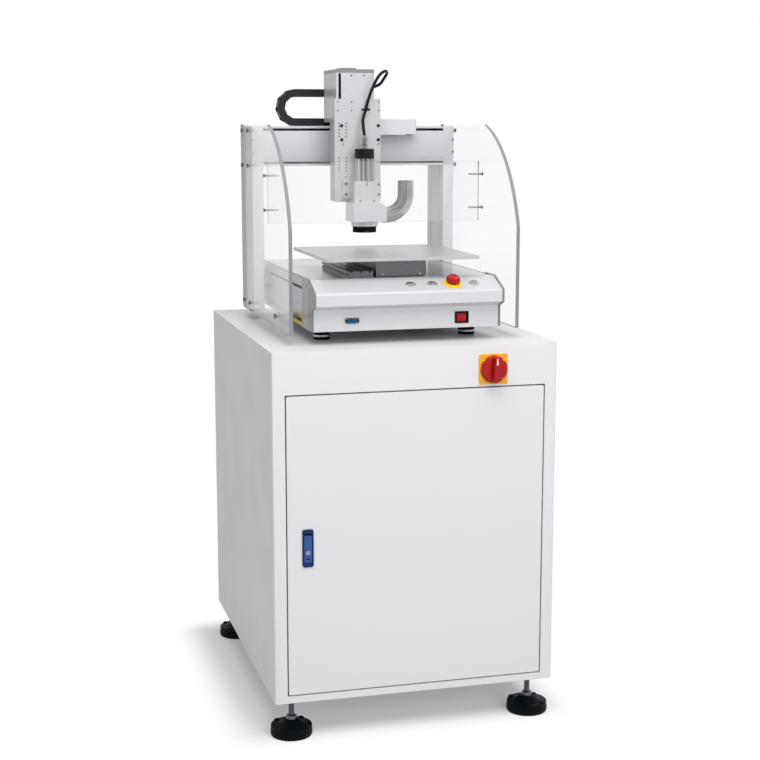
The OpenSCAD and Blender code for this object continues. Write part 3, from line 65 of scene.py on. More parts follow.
camera.rotation_euler = (math.radians(90.0 - 9.522), 0.0, math.radians(-15.094))
bpy.context.scene.collection.objects.link(camera)
bpy.context.scene.camera = camera
bpy.context.scene.view_settings.view_transform = "Standard"


# ---- Spindle cable ----
# A power cable with a smooth black PVC jacket, 7 mm thick. It is plugged into the top of the spindle,
# strapped to the Z plate, and bends over in one loop into a gland on the side of the Z housing.
cable_thick = 0.007
cable_stops = [(-8, 34, 1267), (-10, 36, 1285), (-8, 46, 1303), (0, 54, 1323), (7, 53, 1349), (15, 49, 1373),
               (26, 47, 1395), (37, 50, 1407), (49, 59, 1412), (56, 74, 1407), (54, 90, 1397), (49, 110, 1384),
               (34, 120, 1376)]
shell_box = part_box("cabinet_shell")
middle_y = (shell_box[0][1] + shell_box[1][1]) / 2


def at(x, y, z):
    """A point in metres, from millimetres off the cabinet's middle and over the floor."""
    return Vector((x / 1000, y / 1000 + middle_y, z / 1000))


def linear(hex_colour):
    """An sRGB colour, written #rrggbb, as the linear values that the shaders take."""
    parts = [int(hex_colour[i:i + 2], 16) / 255 for i in (1, 3, 5)]
    return tuple(c / 12.92 if c <= 0.04045 else ((c + 0.055) / 1.055) ** 2.4 for c in parts) + (1.0,)


def put(tree, kind, settings=None, **inputs):
    """Adds a shader or geometry node. An input takes a value, a socket, or a node for its first output."""
    node = tree.nodes.new(kind)
    for name, value in (settings or {}).items():
        setattr(node, name, value)
    for name, value in inputs.items():
        socket = node.inputs[int(name[1:])] if name[1:].isdigit() else node.inputs[name.replace("_", " ")]
        if isinstance(value, bpy.types.Node):
            value = value.outputs[0]
        if isinstance(value, bpy.types.NodeSocket):
            tree.links.new(value, socket)
        else:
            socket.default_value = value
    return node


def noise(tree, where, scale, detail, **more):
    """Soft noise over a piece, in cells of 1/scale metre."""
    return put(tree, "ShaderNodeTexNoise", Vector=where, Scale=scale, Detail=detail, **more)


def ranged(tree, value, low, high, first, last, ease="LINEAR"):
    """A value that runs from low to high, as one that runs from first to last."""
    return put(tree, "ShaderNodeMapRange", {"interpolation_type": ease}, Value=value, _1=low, _2=high,
               _3=first, _4=last)


def bare_finish(name):
    """A new material with an empty tree, and its Object coordinates."""
    material = bpy.data.materials.new(name)
    material.use_nodes = True
    material.node_tree.nodes.clear()
    return material, material.node_tree, put(material.node_tree, "ShaderNodeTexCoord").outputs["Object"]


def finished(material, colour, rough, relief, depth, lift=0.0001, **more):
    """Ends a finish with its colour, its roughness and a fine relief, lift metres high at a depth of 1."""
    tree = material.node_tree
    bump = put(tree, "ShaderNodeBump", Strength=depth, Distance=lift, Height=relief)
    skin = put(tree, "ShaderNodeBsdfPrincipled", Base_Color=colour, Roughness=rough, Normal=bump, **more)
    put(tree, "ShaderNodeOutputMaterial", Surface=skin)
    return material


def moulded(name, colour, rough=0.4, grain_mm=0.8, depth=0.15, shine=0.2):
    """Moulded or extruded plastic or rubber: one colour right through, with a fine matt grain."""
    material, tree, where = bare_finish(name)
    grain = noise(tree, where, 1000 / grain_mm, 1.0)
    shade = ranged(tree, noise(tree, where, 35.0, 3.0), 0.3, 0.7, rough - 0.05, rough + 0.07)
    return finished(material, linear(colour), shade, grain, depth, Specular_IOR_Level=shine)


def smooth_route(stops, steps):
    """A smooth curve through the stops, with a number of steps to each stretch."""
    line = []
    for i in range(len(stops) - 1):
        a, b, c, d = (stops[min(max(i + k, 0), len(stops) - 1)] for k in (-1, 0, 1, 2))
        for s in range(steps):
            t = s / steps
            line.append(0.5 * (2 * b + (c - a) * t + (2 * a - 5 * b + 4 * c - d) * t ** 2
                               + (3 * b - a - 3 * c + d) * t ** 3))
    return line + [stops[-1]]


def circle(centre, u, v, radius, count):
    """Points round a centre, in the plane of two unit vectors."""
    turns = [math.tau * k / count for k in range(count)]
    return [centre + radius * (math.cos(a) * u + math.sin(a) * v) for a in turns]


def join_rings(shell, rings, closed=False):
    """Faces between rings of vertices, where a ring of one vertex is a pole."""
    for first, second in zip(rings, rings[1:] + rings[:1] if closed else rings[1:]):
        n = max(len(first), len(second))
        for k in range(n):
            corners = [first[k % len(first)], first[(k + 1) % len(first)], second[(k + 1) % len(second)],
                       second[k % len(second)]]
            face = list(dict.fromkeys(corners))
            if len(face) > 2:
                shell.faces.new(face)


def capped(shell, rings):
    """A solid from rings of vertices: the faces between them and one over each end."""
    join_rings(shell, rings)
    shell.faces.new(rings[0])
    shell.faces.new(rings[-1])


def sweep(shell, line, radius, sides=20, wall=0.0):
    """A round bar along a line; with a wall it is a pipe that is open at both ends."""
    last = len(line) - 1
    ways = [(line[min(i + 1, last)] - line[max(i - 1, 0)]).normalized() for i in range(last + 1)]
    across = ways[0].orthogonal().normalized()
    frames = []
    for way in ways:
        across = (across - across.dot(way) * way).normalized()
        frames.append((across, way.cross(across)))

    def ring(i, r):
        return [shell.verts.new(spot) for spot in circle(line[i], *frames[i], r, sides)]

    rings = [ring(i, radius) for i in range(last + 1)]
    if wall:
        join_rings(shell, rings + [ring(i, radius - wall) for i in range(last, -1, -1)], closed=True)
    else:
        capped(shell, rings)


def made(name, shell, material, sharp=35):
    """A finished object from a bmesh: doubles merged, faces turned outwards, smooth but for sharp edges."""
    bmesh.ops.remove_doubles(shell, verts=shell.verts, dist=1e-6)
    bmesh.ops.recalc_face_normals(shell, faces=shell.faces)
    mesh = bpy.data.meshes.new(name)
    shell.to_mesh(mesh)
    shell.free()
    mesh.shade_smooth()
    mesh.set_sharp_from_angle(angle=math.radians(sharp))
    mesh.materials.append(material)
    thing = bpy.data.objects.new(name, mesh)
    bpy.context.scene.collection.objects.link(thing)
    return thing


def slotted(thing):
    """Returns the piece as it is."""
    return thing


def carried(thing, node, instead=True):
    """The piece rides on the body of a CAD node, and stands for it unless it is only mounted on it."""
    bodies = frame["record"]["behaviour"]["bodies"]
    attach(thing, next(body for body, names in bodies.items() if node in names))
    if instead:
        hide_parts(node)
    return slotted(thing)


cable_line = smooth_route([at(*stop) for stop in cable_stops], 8)
shell = bmesh.new()
sweep(shell, cable_line, cable_thick / 2)
jacket = made("spindle_cable_jacket", shell, moulded("black_pvc_jacket", "#131314", rough=0.36, grain_mm=1.5))
slotted(jacket)
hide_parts("spindle_cable")
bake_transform(jacket)


# ---- Studio ----
# A pale floor, a white surround and soft lamps. The eye and the reflections see white where nothing stands,
# but for a painted shadow patch round the cabinet's footprint, and the light itself stays at a plain level.
# Soft dark gaps in the white give bright metal its bands.
floor_size = 18.0
floor_drop = 0.0005
shadow_patch_middle = (-0.02, 0.04, 0.0)
shadow_patch_reach = (0.30, 0.34, 0.0)


def maths(tree, operation, *values, kind="ShaderNodeMath"):
    """A sum on numbers, or on vectors where kind says so."""
    inputs = {"_" + str(i): value for i, value in enumerate(values)}
    return put(tree, kind, {"operation": operation}, **inputs)


def surround_ray(tree):
    """1 for what the eye, a reflection or a clear sheet sees, and 0 for the light on the object."""
    rays = put(tree, "ShaderNodeLightPath").outputs
    seen = maths(tree, "MAXIMUM", rays["Is Camera Ray"], rays["Is Glossy Ray"])
    return maths(tree, "MAXIMUM", seen, rays["Is Transmission Ray"])


world = bpy.data.worlds.new("studio")
bpy.context.scene.world = world
world.use_nodes = True
tree = world.node_tree
tree.nodes.clear()
soft = put(tree, "ShaderNodeBackground", Color=linear("#f6f7fa"), Strength=0.38)
way = put(tree, "ShaderNodeTexCoord").outputs["Generated"]
spread = maths(tree, "MULTIPLY", way, (2.6, 2.6, 0.7), kind="ShaderNodeVectorMath")
dark = ranged(tree, noise(tree, spread, 1.0, 1.0), 0.44, 0.56, 0.75, 0.12, "SMOOTHSTEP")
parts = put(tree, "ShaderNodeSeparateXYZ", Vector=way)
front = ranged(tree, parts.outputs["Y"], -0.45, 0.1, 1.0, 0.0)
mirrored = maths(tree, "MULTIPLY", front, put(tree, "ShaderNodeLightPath").outputs["Is Glossy Ray"])
level = maths(tree, "SUBTRACT", 1.0, maths(tree, "MULTIPLY", mirrored, dark))
white = put(tree, "ShaderNodeBackground", Color=(1, 1, 1, 1), Strength=level)
mixed = put(tree, "ShaderNodeMixShader", Fac=surround_ray(tree), _1=soft, _2=white)
put(tree, "ShaderNodeOutputWorld", Surface=mixed)

floor_mesh = bpy.data.meshes.new("floor")
floor_mesh.from_pydata([(x * floor_size / 2, y * floor_size / 2, -floor_drop)
                        for x, y in ((-1, -1), (1, -1), (1, 1), (-1, 1))], [], [(0, 1, 2, 3)])
floor = bpy.data.objects.new("floor", floor_mesh)
bpy.context.scene.collection.objects.link(floor)
floor_paint, tree, where = bare_finish("pale_floor_with_painted_shadow_patch")
# Painted shadow patch: only inside a box round the cabinet's footprint does the floor show its grey lit shade and
# the real shadow in it. Outside the box it is plain white, so the patch's outline and its grey are painted.
beyond = maths(tree, "SUBTRACT", where, shadow_patch_middle, kind="ShaderNodeVectorMath")
beyond = maths(tree, "ABSOLUTE", beyond, kind="ShaderNodeVectorMath")
beyond = maths(tree, "SUBTRACT", beyond, shadow_patch_reach, kind="ShaderNodeVectorMath")
beyond = maths(tree, "MAXIMUM", beyond, (0.0, 0.0, 0.0), kind="ShaderNodeVectorMath")
away = maths(tree, "LENGTH", beyond, kind="ShaderNodeVectorMath")
near = ranged(tree, away.outputs["Value"], 0.0, 0.11, 0.25, 1.0, "SMOOTHSTEP")
matt = put(tree, "ShaderNodeBsdfDiffuse", Color=linear("#d6d6d6"), Roughness=0.5)
glow = put(tree, "ShaderNodeEmission", Color=(1, 1, 1, 1), Strength=1.0)
part = maths(tree, "MULTIPLY", surround_ray(tree), near)
mixed = put(tree, "ShaderNodeMixShader", Fac=part, _1=matt, _2=glow)
put(tree, "ShaderNodeOutputMaterial", Surface=mixed)
floor_mesh.materials.append(floor_paint)


def softbox(name, place, aim, size, power):
    """A square soft lamp that looks at a point. It lights the object and does not show in its shiny parts."""
    lamp = bpy.data.lights.new(name, "AREA")
    lamp.shape = "SQUARE"
    lamp.size = size
    lamp.energy = power
    thing = bpy.data.objects.new(name, lamp)
    thing.location = place
    thing.rotation_euler = (Vector(aim) - Vector(place)).to_track_quat("-Z", "Y").to_euler()
    thing.visible_glossy = False
    bpy.context.scene.collection.objects.link(thing)


softbox("key", (0.7, -4.3, 1.5), (0.0, 0.0, 0.6), 2.6, 56)
softbox("overhead", (-0.2, -1.6, 3.4), (0.0, 0.0, 0.9), 2.8, 104)


# ---- Levelling feet ----
# Four moulded rubber pads, each with a flange and lugs round a dished top, on threaded steel stems with
# hexagonal lock nuts. The stems are screwed into the cabinet's floor and carry it clear of the ground.
pad_r = 45.0
pad_top = 34.0
pad_seat = 24.0
lug_out = 37.5
stem_r = 6.0
thread_pitch = 1.75
thread_start = 25.0
cab_floor = 84.0
stem_top = cab_floor + 24


def turned(shell, profile, centre, facing=(0, 0, 1), sides=48, closed=False):
    """A turned form. Its profile is (radius, height) in millimetres, from one end to the other."""
    spin = Vector((0, 0, 1)).rotation_difference(Vector(facing)).to_matrix()
    u, v, way = spin.col
    rings = []
    for r, h in profile:
        middle = Vector(centre) + way * h / 1000
        rings.append([shell.verts.new(spot) for spot in circle(middle, u, v, r / 1000, sides if r else 1)])
    join_rings(shell, rings, closed)


def zinc_plated(name, colour="#c4c6c8", rough=0.28, grain_mm=2.5):
    """Bright zinc on steel: a metal with a faint cloudy bloom from the plating bath."""
    material, tree, where = bare_finish(name)
    bloom = noise(tree, where, 1000 / (12 * grain_mm), 4.0)
    tone = ranged(tree, bloom, 0.3, 0.7, rough - 0.06, rough + 0.12)
    grain = noise(tree, where, 1000 / grain_mm, 2.0)
    return finished(material, linear(colour), tone, grain, 0.1, Metallic=1.0)


def fitted(name, shell, material, node, sharp=35):
    """A finished piece that stands for a CAD node."""
    carried(made(name, shell, material, sharp), node)


feet = [(x, y) for x in (-268, 268) for y in (-337, 337)]
black_rubber = moulded("black_rubber", "#05090d", rough=0.5, grain_mm=1.6, depth=0.3, shine=0.08)
pads = bmesh.new()
for x, y in feet:
    turned(pads, [(0, 0), (pad_r - 5, 0), (pad_r - 1.6, 1.2), (pad_r, 4.5), (pad_r, 13), (pad_r - 1.2, 15.5),
                  (pad_r - 1.4, 19), (pad_r - 0.6, 21), (pad_r - 1.4, 23.4), (pad_r - 4, 24),
                  (pad_r - 10, 24.2), (27, 26.5), (22, 29.5), (19, 33), (17.5, pad_top), (stem_r + 0.3, pad_top),
                  (stem_r + 0.3, pad_seat), (0, pad_seat)], at(x, y, 0), sides=64)
    for a in (45, 135, 225, 315):
        lug = at(x + lug_out * math.cos(math.radians(a)), y + lug_out * math.sin(math.radians(a)), 22)
        turned(pads, [(0, 0), (6.5, 0), (6.5, 2.8), (5.2, 4.4), (2.4, 4.6), (2.2, 3.2), (0, 3.2)], lug, sides=20)
fitted("rubber_foot_pads", pads, black_rubber, "foot_pads")

stems = bmesh.new()
for x, y in feet:
    thread = [(0, pad_seat)]
    for i in range(int((stem_top - 26) / thread_pitch)):
        z = thread_start + i * thread_pitch
        thread += [(stem_r - 0.9, z), (stem_r, z + thread_pitch * 0.35), (stem_r, z + thread_pitch * 0.65)]
    thread += [(stem_r - 0.9, stem_top - 1), (stem_r - 1.6, stem_top), (0, stem_top)]
    turned(stems, thread, at(x, y, 0), sides=24)
    for z in (pad_top, cab_floor - 10, cab_floor + 2):
        turned(stems, [(0, 0), (10.8, 0), (12, 0.9), (12, 9.1), (10.8, 10), (0, 10)], at(x, y, z), sides=6)
fitted("threaded_foot_stems", stems, zinc_plated("zinc_plated_thread", "#737883", rough=0.24), "foot_stems",
       25)


# ---- Cabinet shell ----
# Folded 2 mm sheet steel, welded along its corners and coated inside and out with white polyester powder.
# The powder leaves a fine orange peel and a soft gloss. Every folded edge has a small radius.
def powder_coat(name, colour, rough=0.42, peel_mm=1.6, depth=0.10):
    """Baked polyester powder on steel: a fine orange peel, a soft gloss and very slight clouds in it."""
    material, tree, where = bare_finish(name)
    peel = noise(tree, where, 1000 / peel_mm, 2.0, Roughness=0.5)
    shade = ranged(tree, noise(tree, where, 9.0, 2.0), 0.3, 0.7, rough - 0.04, rough + 0.05)
    return finished(material, linear(colour), shade, peel, depth, lift=0.0002)


def dressed(node, material):
    """Gives a CAD node, which stays as it is, its finish."""
    thing = frame["nodes"][node]
    thing.data.materials.clear()
    thing.data.materials.append(material)


def flat_faces_first(mesh, smooth_angle=32):
    """Keeps the shading of flat and curved faces true and lets only the rounded edges blend between them."""
    limit = math.cos(math.radians(smooth_angle))
    around = [[] for _ in mesh.vertices]
    for face in mesh.polygons:
        for vertex in face.vertices:
            around[vertex].append(face)
    normals = []
    for face in mesh.polygons:
        for vertex in face.vertices:
            mains = [f for f in around[vertex] if f.material_index == 0]
            if face.material_index == 0:
                near = [f for f in mains if f.normal.dot(face.normal) > limit]
            elif mains:
                best = max(mains, key=lambda f: f.normal.dot(face.normal))
                near = [f for f in mains if f.normal.dot(best.normal) > limit]
            else:
                near = [f for f in around[vertex] if f.normal.dot(face.normal) > 0.4]
            total = sum((f.normal * f.area for f in near), Vector())
            normals.append(total.normalized() if total.length > 1e-12 else face.normal.copy())
    mesh.normals_split_custom_set(normals)
    for face in mesh.polygons:
        face.material_index = 0
    mesh.materials.pop(index=1)


def eased(node, material, width, segments=2, angle=40):
    """A copy of a CAD node with its sharp edges rounded, as folded, cast or filed edges are."""
    mesh = frame["nodes"][node].data.copy()
    shell = bmesh.new()
    shell.from_mesh(mesh)
    bmesh.ops.remove_doubles(shell, verts=shell.verts, dist=1e-6)
    bmesh.ops.dissolve_limit(shell, angle_limit=math.radians(1.0), verts=shell.verts, edges=shell.edges)
    for face in shell.faces:
        face.smooth = True
    shell.to_mesh(mesh)
    shell.free()
    mesh.materials.clear()
    mesh.materials.append(material)
    mesh.materials.append(material)
    thing = bpy.data.objects.new(node + "_eased", mesh)
    bpy.context.scene.collection.objects.link(thing)
    ease = thing.modifiers.new("ease", "BEVEL")
    ease.width = width
    ease.segments = segments
    ease.limit_method = "ANGLE"
    ease.angle_limit = math.radians(angle)
    ease.material = 1
    result = bpy.data.meshes.new_from_object(thing.evaluated_get(bpy.context.evaluated_depsgraph_get()))
    thing.modifiers.clear()
    thing.data = result
    thing.data.name = node + "_eased"
    flat_faces_first(result)
    return carried(thing, node)


frame_white = powder_coat("white_powder_coat", "#d8d8da")
eased("cabinet_shell", frame_white, 0.0009)


# ---- Inside the cabinet ----
# A folded galvanised shelf, and under it the drum of the dust collector: rolled steel sheet with a stepped lid
# ring, sprayed slate grey. The machine's suction hose is led to the socket on its front.
bright_zinc = zinc_plated("bright_zinc_plate")
dressed("cabinet_shelf", zinc_plated("galvanised_sheet", "#b9bcbf", rough=0.38, grain_mm=6.0))
dressed("dust_collector", powder_coat("slate_grey_paint", "#6b747c", rough=0.35))


# ---- Rear panel and mains gland ----
# A removable louvred panel of coated sheet, and a black nylon gland whose nut clamps the mains lead's seal.
def ends_of(node):
    """The low and the high corner of a CAD node's box."""
    return [Vector(corner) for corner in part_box(node)]


dressed("rear_panel", frame_white)
gland_low, gland_high = ends_of("mains_gland")
gland_mid = (gland_low + gland_high) / 2
black_nylon = moulded("black_nylon", "#121214", rough=0.45, shine=0.15)
shell = bmesh.new()
gland_foot = Vector((gland_mid.x, gland_low.y, gland_mid.z))
turned(shell, [(5.5, -6), (10, -6), (10, 20), (13.5, 20), (13.5, 24), (12, 25), (12, 30.5), (10.5, 32),
               (5.5, 32)], gland_foot, facing=(0, 1, 0), sides=24, closed=True)
for rib in circle(gland_foot + Vector((0, 0.025, 0)), Vector((1, 0, 0)), Vector((0, 0, 1)), 0.0118, 12):
    turned(shell, [(0, 0), (1.0, 0), (1.0, 5.4), (0, 5.4)], rib, facing=(0, 1, 0), sides=8)
fitted("cable_gland", shell, black_nylon, "mains_gland")


# ---- Door ----
# A folded pan of the same sheet in a slightly greyer coat, hung on two steel pins at its right-hand edge.
eased("door", powder_coat("pale_grey_powder_coat", "#d7d7d9"), 0.0012, 3)
dressed("door_pivots", bright_zinc)


# ---- Lock ----
# A flush swing handle of blue nylon in a darker tray, with a nickel key barrel near the handle's lower end.
# Its lever is pressed in at the top and swings out at the bottom.
def surface(origin, right, up):
    """The matrix of a flat face in millimetres; its normal is right x up."""
    right, up = Vector(right).normalized(), Vector(up).normalized()
    turn = Matrix((right, up, right.cross(up))).transposed().to_4x4()
    return Matrix.Translation(Vector(origin)) @ turn @ Matrix.Scale(0.001, 4)


def front_face(x, y, z):
    """The matrix of a face that looks to the front, in metres."""
    return surface((x, y, z), (1, 0, 0), (0, 0, 1))


def prism(shell, outline, low, high, place):
    """A flat outline, anticlockwise and in millimetres, pushed out along its face's normal."""
    capped(shell, [[shell.verts.new(place @ Vector((u, v, h))) for u, v in outline] for h in (low, high)])


def rounded(w, h, r, cu=0.0, cv=0.0, steps=5):
    """The outline of a rectangle with rounded corners."""
    corners = [(w / 2 - r, h / 2 - r, 0), (r - w / 2, h / 2 - r, 90), (r - w / 2, r - h / 2, 180),
               (w / 2 - r, r - h / 2, 270)]
    return [(cu + x + r * math.cos(math.radians(a + 90 * k / steps)),
             cv + y + r * math.sin(math.radians(a + 90 * k / steps)))
            for x, y, a in corners for k in range(steps + 1)]


def glossy(name, colour, rough=0.22, peel_mm=2.5, coat=0.1):
    """Polished ABS: one colour right through under a shiny skin, with the slight waves of its mould."""
    material, tree, where = bare_finish(name)
    wave = noise(tree, where, 1000 / (6 * peel_mm), 1.0)
    shade = ranged(tree, wave, 0.3, 0.7, rough - 0.04, rough + 0.06)
    return finished(material, linear(colour), shade, wave, 0.05, lift=0.0003, Specular_IOR_Level=0.25,
                    Coat_Weight=coat, Coat_Roughness=0.08)


def mounted(name, shell, material, node, sharp=35):
    """A finished piece that is only mounted on what stands for a CAD node."""
    carried(made(name, shell, material, sharp), node, instead=False)


barrel_up = 0.021
eased("lock_body", moulded("navy_nylon", "#14295a", rough=0.38), 0.0008)
eased("lock_lever", moulded("blue_nylon", "#2f5693", rough=0.34), 0.0008)
lever_low, lever_high = ends_of("lock_lever")
barrel_spot = Vector(((lever_low.x + lever_high.x) / 2, lever_low.y, lever_low.z + barrel_up))
nickel = zinc_plated("nickel_plate", "#aaaaac", rough=0.16)
shell = bmesh.new()
turned(shell, [(0, -1.0), (4.6, -1.0), (4.6, 0.5), (4.1, 0.9), (2.6, 0.9), (2.4, 0.3), (0, 0.3)], barrel_spot,
       facing=(0, -1, 0), sides=24)
mounted("lock_barrel", shell, nickel, "lock_lever")
shell = bmesh.new()
front = front_face(*barrel_spot)
prism(shell, [(-0.5, -2.2), (0.5, -2.2), (0.5, 2.2), (-0.5, 2.2)], 0.1, 0.45, front)
prism(shell, rounded(7.5, 2.2, 1.0, 0, -13.5), -0.6, 0.15, front)
prism(shell, rounded(7.5, 1.2, 0.5, 0, 31), -0.6, 0.2, front)
mounted("lock_keyway", shell, black_nylon, "lock_lever")


# ---- Isolator ----
# A square plate of yellow ABS with a red rotary handle that turns a quarter. The handle is moulded with four
# padlock notches in its rim and a raised grip that points at the marks moulded on the plate.
mark_out = 28.4
plate_screw_out = 0.0265
knob_r = 29.0
notch_deep = 3.2
notch_half_angle = 5.0


def drawn_ring(shell, inner, outer, low, high, place, middle=0.0, squash=1.0, parts=24):
    """A flat ring in short pieces, such as the sign for off."""
    for k in range(parts):
        a, b = math.tau * k / parts, math.tau * (k + 1) / parts
        prism(shell, [(middle + r * math.cos(t) * squash, r * math.sin(t))
                      for r, t in ((inner, a), (outer, a), (outer, b), (inner, b))], low, high, place)


dressed("isolator_body", black_nylon)
eased("isolator_plate", glossy("yellow_abs", "#eda80c", rough=0.3), 0.0007)
plate_low, plate_high = ends_of("isolator_plate")
iso_x = (plate_low.x + plate_high.x) / 2
iso_z = (plate_low.z + plate_high.z) / 2
plate_front = front_face(iso_x, plate_low.y, iso_z)
marks = bmesh.new()
prism(marks, rounded(1.2, 4.4, 0.5, 0, mark_out + 1.6), 0, 0.3, plate_front)
drawn_ring(marks, 1.2, 2.2, 0, 0.3, plate_front, middle=mark_out + 1.4, squash=0.7)
mounted("isolator_marks", marks, black_nylon, "isolator_plate")
plate_screws = bmesh.new()
for u, v in ((-1, -1), (-1, 1), (1, -1), (1, 1)):
    spot = Vector((iso_x + u * plate_screw_out, plate_low.y, iso_z + v * plate_screw_out))
    turned(plate_screws, [(0, -0.6), (2.3, -0.6), (2.3, 0.3), (1.7, 0.9), (0.7, 1.0), (0.5, 0.4), (0, 0.4)],
           spot, facing=(0, -1, 0), sides=16)
mounted("isolator_screws", plate_screws, bright_zinc, "isolator_plate")

red_abs = glossy("red_abs", "#a0080c", rough=0.26)
knob = bmesh.new()
rim = []
for k in range(96):
    a = math.tau * k / 96
    off = (math.degrees(a) + 45) % 90
    notch = max(0.0, 1 - min(off, 90 - off) / notch_half_angle)
    rim.append((a, knob_r - notch_deep * math.sqrt(notch)))
knob_face = front_face(iso_x, plate_low.y - 0.0003, iso_z)
steps = [(0.0, 0.0, 0.0), (1.0, -0.8, 0.0), (1.0, 0.0, 0.8), (1.0, 0.0, 8.0), (1.0, -1.0, 9.6),
         (1.0, -4.0, 11.6), (0.62, 0.0, 12.0), (0.0, 0.0, 12.0)]
rings = []
for share, grow, h in steps:
    spots = [((r + grow) * share, a) for a, r in (rim if share else rim[:1])]
    rings.append([knob.verts.new(knob_face @ Vector((r * math.cos(a), r * math.sin(a), h))) for r, a in spots])
join_rings(knob, rings)
prism(knob, [(-5, 27), (-7, 10), (-8.6, -17), (-6.5, -23), (0, -27.5), (6.5, -23), (8.6, -17), (7, 10),
             (5, 27)], 11, 22.5, knob_face)
prism(knob, [(-3.6, 26), (-5.4, 9), (-7, -17), (-5, -21.5), (0, -25.5), (5, -21.5), (7, -17), (5.4, 9),
             (3.6, 26)], 22.4, 25.9, knob_face)
turned(knob, [(0, -2), (4, -2), (4, 2), (0, 2)], knob_face.translation, facing=(0, -1, 0), sides=24)
turned(knob, [(0, 0), (4, 0), (4, 39), (0, 39)], knob_face.translation, facing=(0, 1, 0), sides=24)
fitted("isolator_handle", knob, red_abs, "isolator_knob", 28)
grip = bmesh.new()
prism(grip, [(-1.0, 25), (-1.7, 12), (1.7, 12), (1.0, 25)], 25.7, 26.0, knob_face)
mounted("isolator_pointer", grip, moulded("white_inlay", "#e9e6e4", rough=0.35), "isolator_knob")


# ---- Machine feet ----
# Four feet screwed under the machine's base, each a black rubber pad, a polished steel ring and a black
# rubber neck.
foot_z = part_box("base_feet")[0][2]
pad_profile = [(0, 0), (16, 0), (18.2, 1.2), (18.5, 3), (18.5, 5.8), (0, 5.8)]
ring_profile = [(0, 5.6), (18.4, 5.6), (19.4, 6.4), (19.4, 10.2), (18.6, 11.0), (0, 11.0)]
neck_profile = [(0, 10.8), (17.6, 10.8), (18.2, 11.8), (18.2, 26.8), (17.2, 28), (0, 28)]
rubber_parts, steel_rings = bmesh.new(), bmesh.new()
for x, y in ((-164, -198), (-164, 195), (164, -198), (164, 195)):
    spot = at(x, y, foot_z * 1000)
    turned(rubber_parts, pad_profile, spot, sides=40)
    turned(rubber_parts, neck_profile, spot, sides=40)
    turned(steel_rings, ring_profile, spot, sides=40)
fitted("machine_foot_rubbers", rubber_parts, black_rubber, "base_feet")
polished_steel = zinc_plated("polished_stainless_steel", "#c4c4c5", rough=0.13, grain_mm=3.5)
mounted("machine_foot_rings", steel_rings, polished_steel, "base_feet")


# ---- Machine base ----
# The front is one drawn aluminium moulding with a sloped control panel over a rounded nose. Grooved sides run
# back from it, and a flat plate closes the top. All this is satin silver. Cast end caps are screwed on, which
# are painted warm grey; painted shade darkens their faces that do not look sideways and the front of their outer
# faces.
cap_shade_start = -270
cap_shade_end = -254
side_slot_shade_and_joint_strips = [(3.6, 941.2, 3.2, 946.8), (1.6, 967.9, -0.3, 968.3)]


def two_tone(tree, share, first, second, blend="MIX"):
    """A mix of two colours, or with MULTIPLY the second as a tint on the first."""
    return put(tree, "ShaderNodeMix", {"data_type": "RGBA", "blend_type": blend}, _0=share, _6=first,
               _7=second).outputs[2]


def recoloured(material, tone):
    """Gives a finish a colour that changes over the piece."""
    tree = material.node_tree
    skin = next(node for node in tree.nodes if node.type == "BSDF_PRINCIPLED")
    tree.links.new(tone, skin.inputs["Base Color"])


def anodised(name, colour, rough=0.34, along=(1, 60, 60), metal=0.75, streak_mm=0.55, depth=0.12):
    """Anodised aluminium, drawn or milled: fine streaks along one axis under a dull silver skin. They are
    about half a millimetre wide, coarser than the real ones, so that they show."""
    material, tree, where = bare_finish(name)
    pitch = 1000 / (streak_mm * 60)
    drawn = put(tree, "ShaderNodeMapping", Vector=where, Scale=tuple(pitch * a for a in along))
    lines = noise(tree, drawn, 1.0, 3.0, Roughness=0.6)
    tone = ranged(tree, lines, 0.25, 0.75, rough - 0.06, rough + 0.08)
    dark = ranged(tree, lines, 0.2, 0.8, 0.955, 1.0)
    tint = two_tone(tree, 1.0, linear(colour), dark, "MULTIPLY")
    return finished(material, tint, tone, lines, depth, Metallic=metal)


eased("base_moulding", anodised("satin_silver_moulding", "#cfcfd2", rough=0.36, metal=0.25), 0.0008)
cap_paint_and_shade = powder_coat("cast_end_cap_grey_and_painted_shade", "#b3afaa", rough=0.3, peel_mm=0.9)
tree = cap_paint_and_shade.node_tree
# Painted shade: every face of the caps that does not look sideways takes a darker grey, and the outer face turns
# darker and bluer over its front strip, between cap_shade_start and cap_shade_end.
sides = put(tree, "ShaderNodeSeparateXYZ", Vector=put(tree, "ShaderNodeNewGeometry").outputs["True Normal"])
flat = maths(tree, "GREATER_THAN", maths(tree, "ABSOLUTE", sides.outputs["X"]), 0.8)
spot = put(tree, "ShaderNodeSeparateXYZ", Vector=put(tree, "ShaderNodeTexCoord").outputs["Object"])
behind = ranged(tree, spot.outputs["Y"], at(0, cap_shade_start, 0).y, at(0, cap_shade_end, 0).y, 0.0, 1.0,
                "SMOOTHSTEP")
broad = two_tone(tree, behind, linear("#8a8a92"), linear("#b3afa6"))
recoloured(cap_paint_and_shade, two_tone(tree, flat, linear("#74746f"), broad))
eased("base_end_caps", cap_paint_and_shade, 0.0009)
eased("base_sides", anodised("satin_silver_side", "#d2d2d6", rough=0.38, along=(60, 1, 60), metal=0.25), 0.0005)
eased("base_top", anodised("polished_deck", "#bfbfc2", rough=0.2, along=(40, 1, 40), metal=0.45, depth=0.03),
      0.0005)
sides_low, sides_high = ends_of("base_sides")
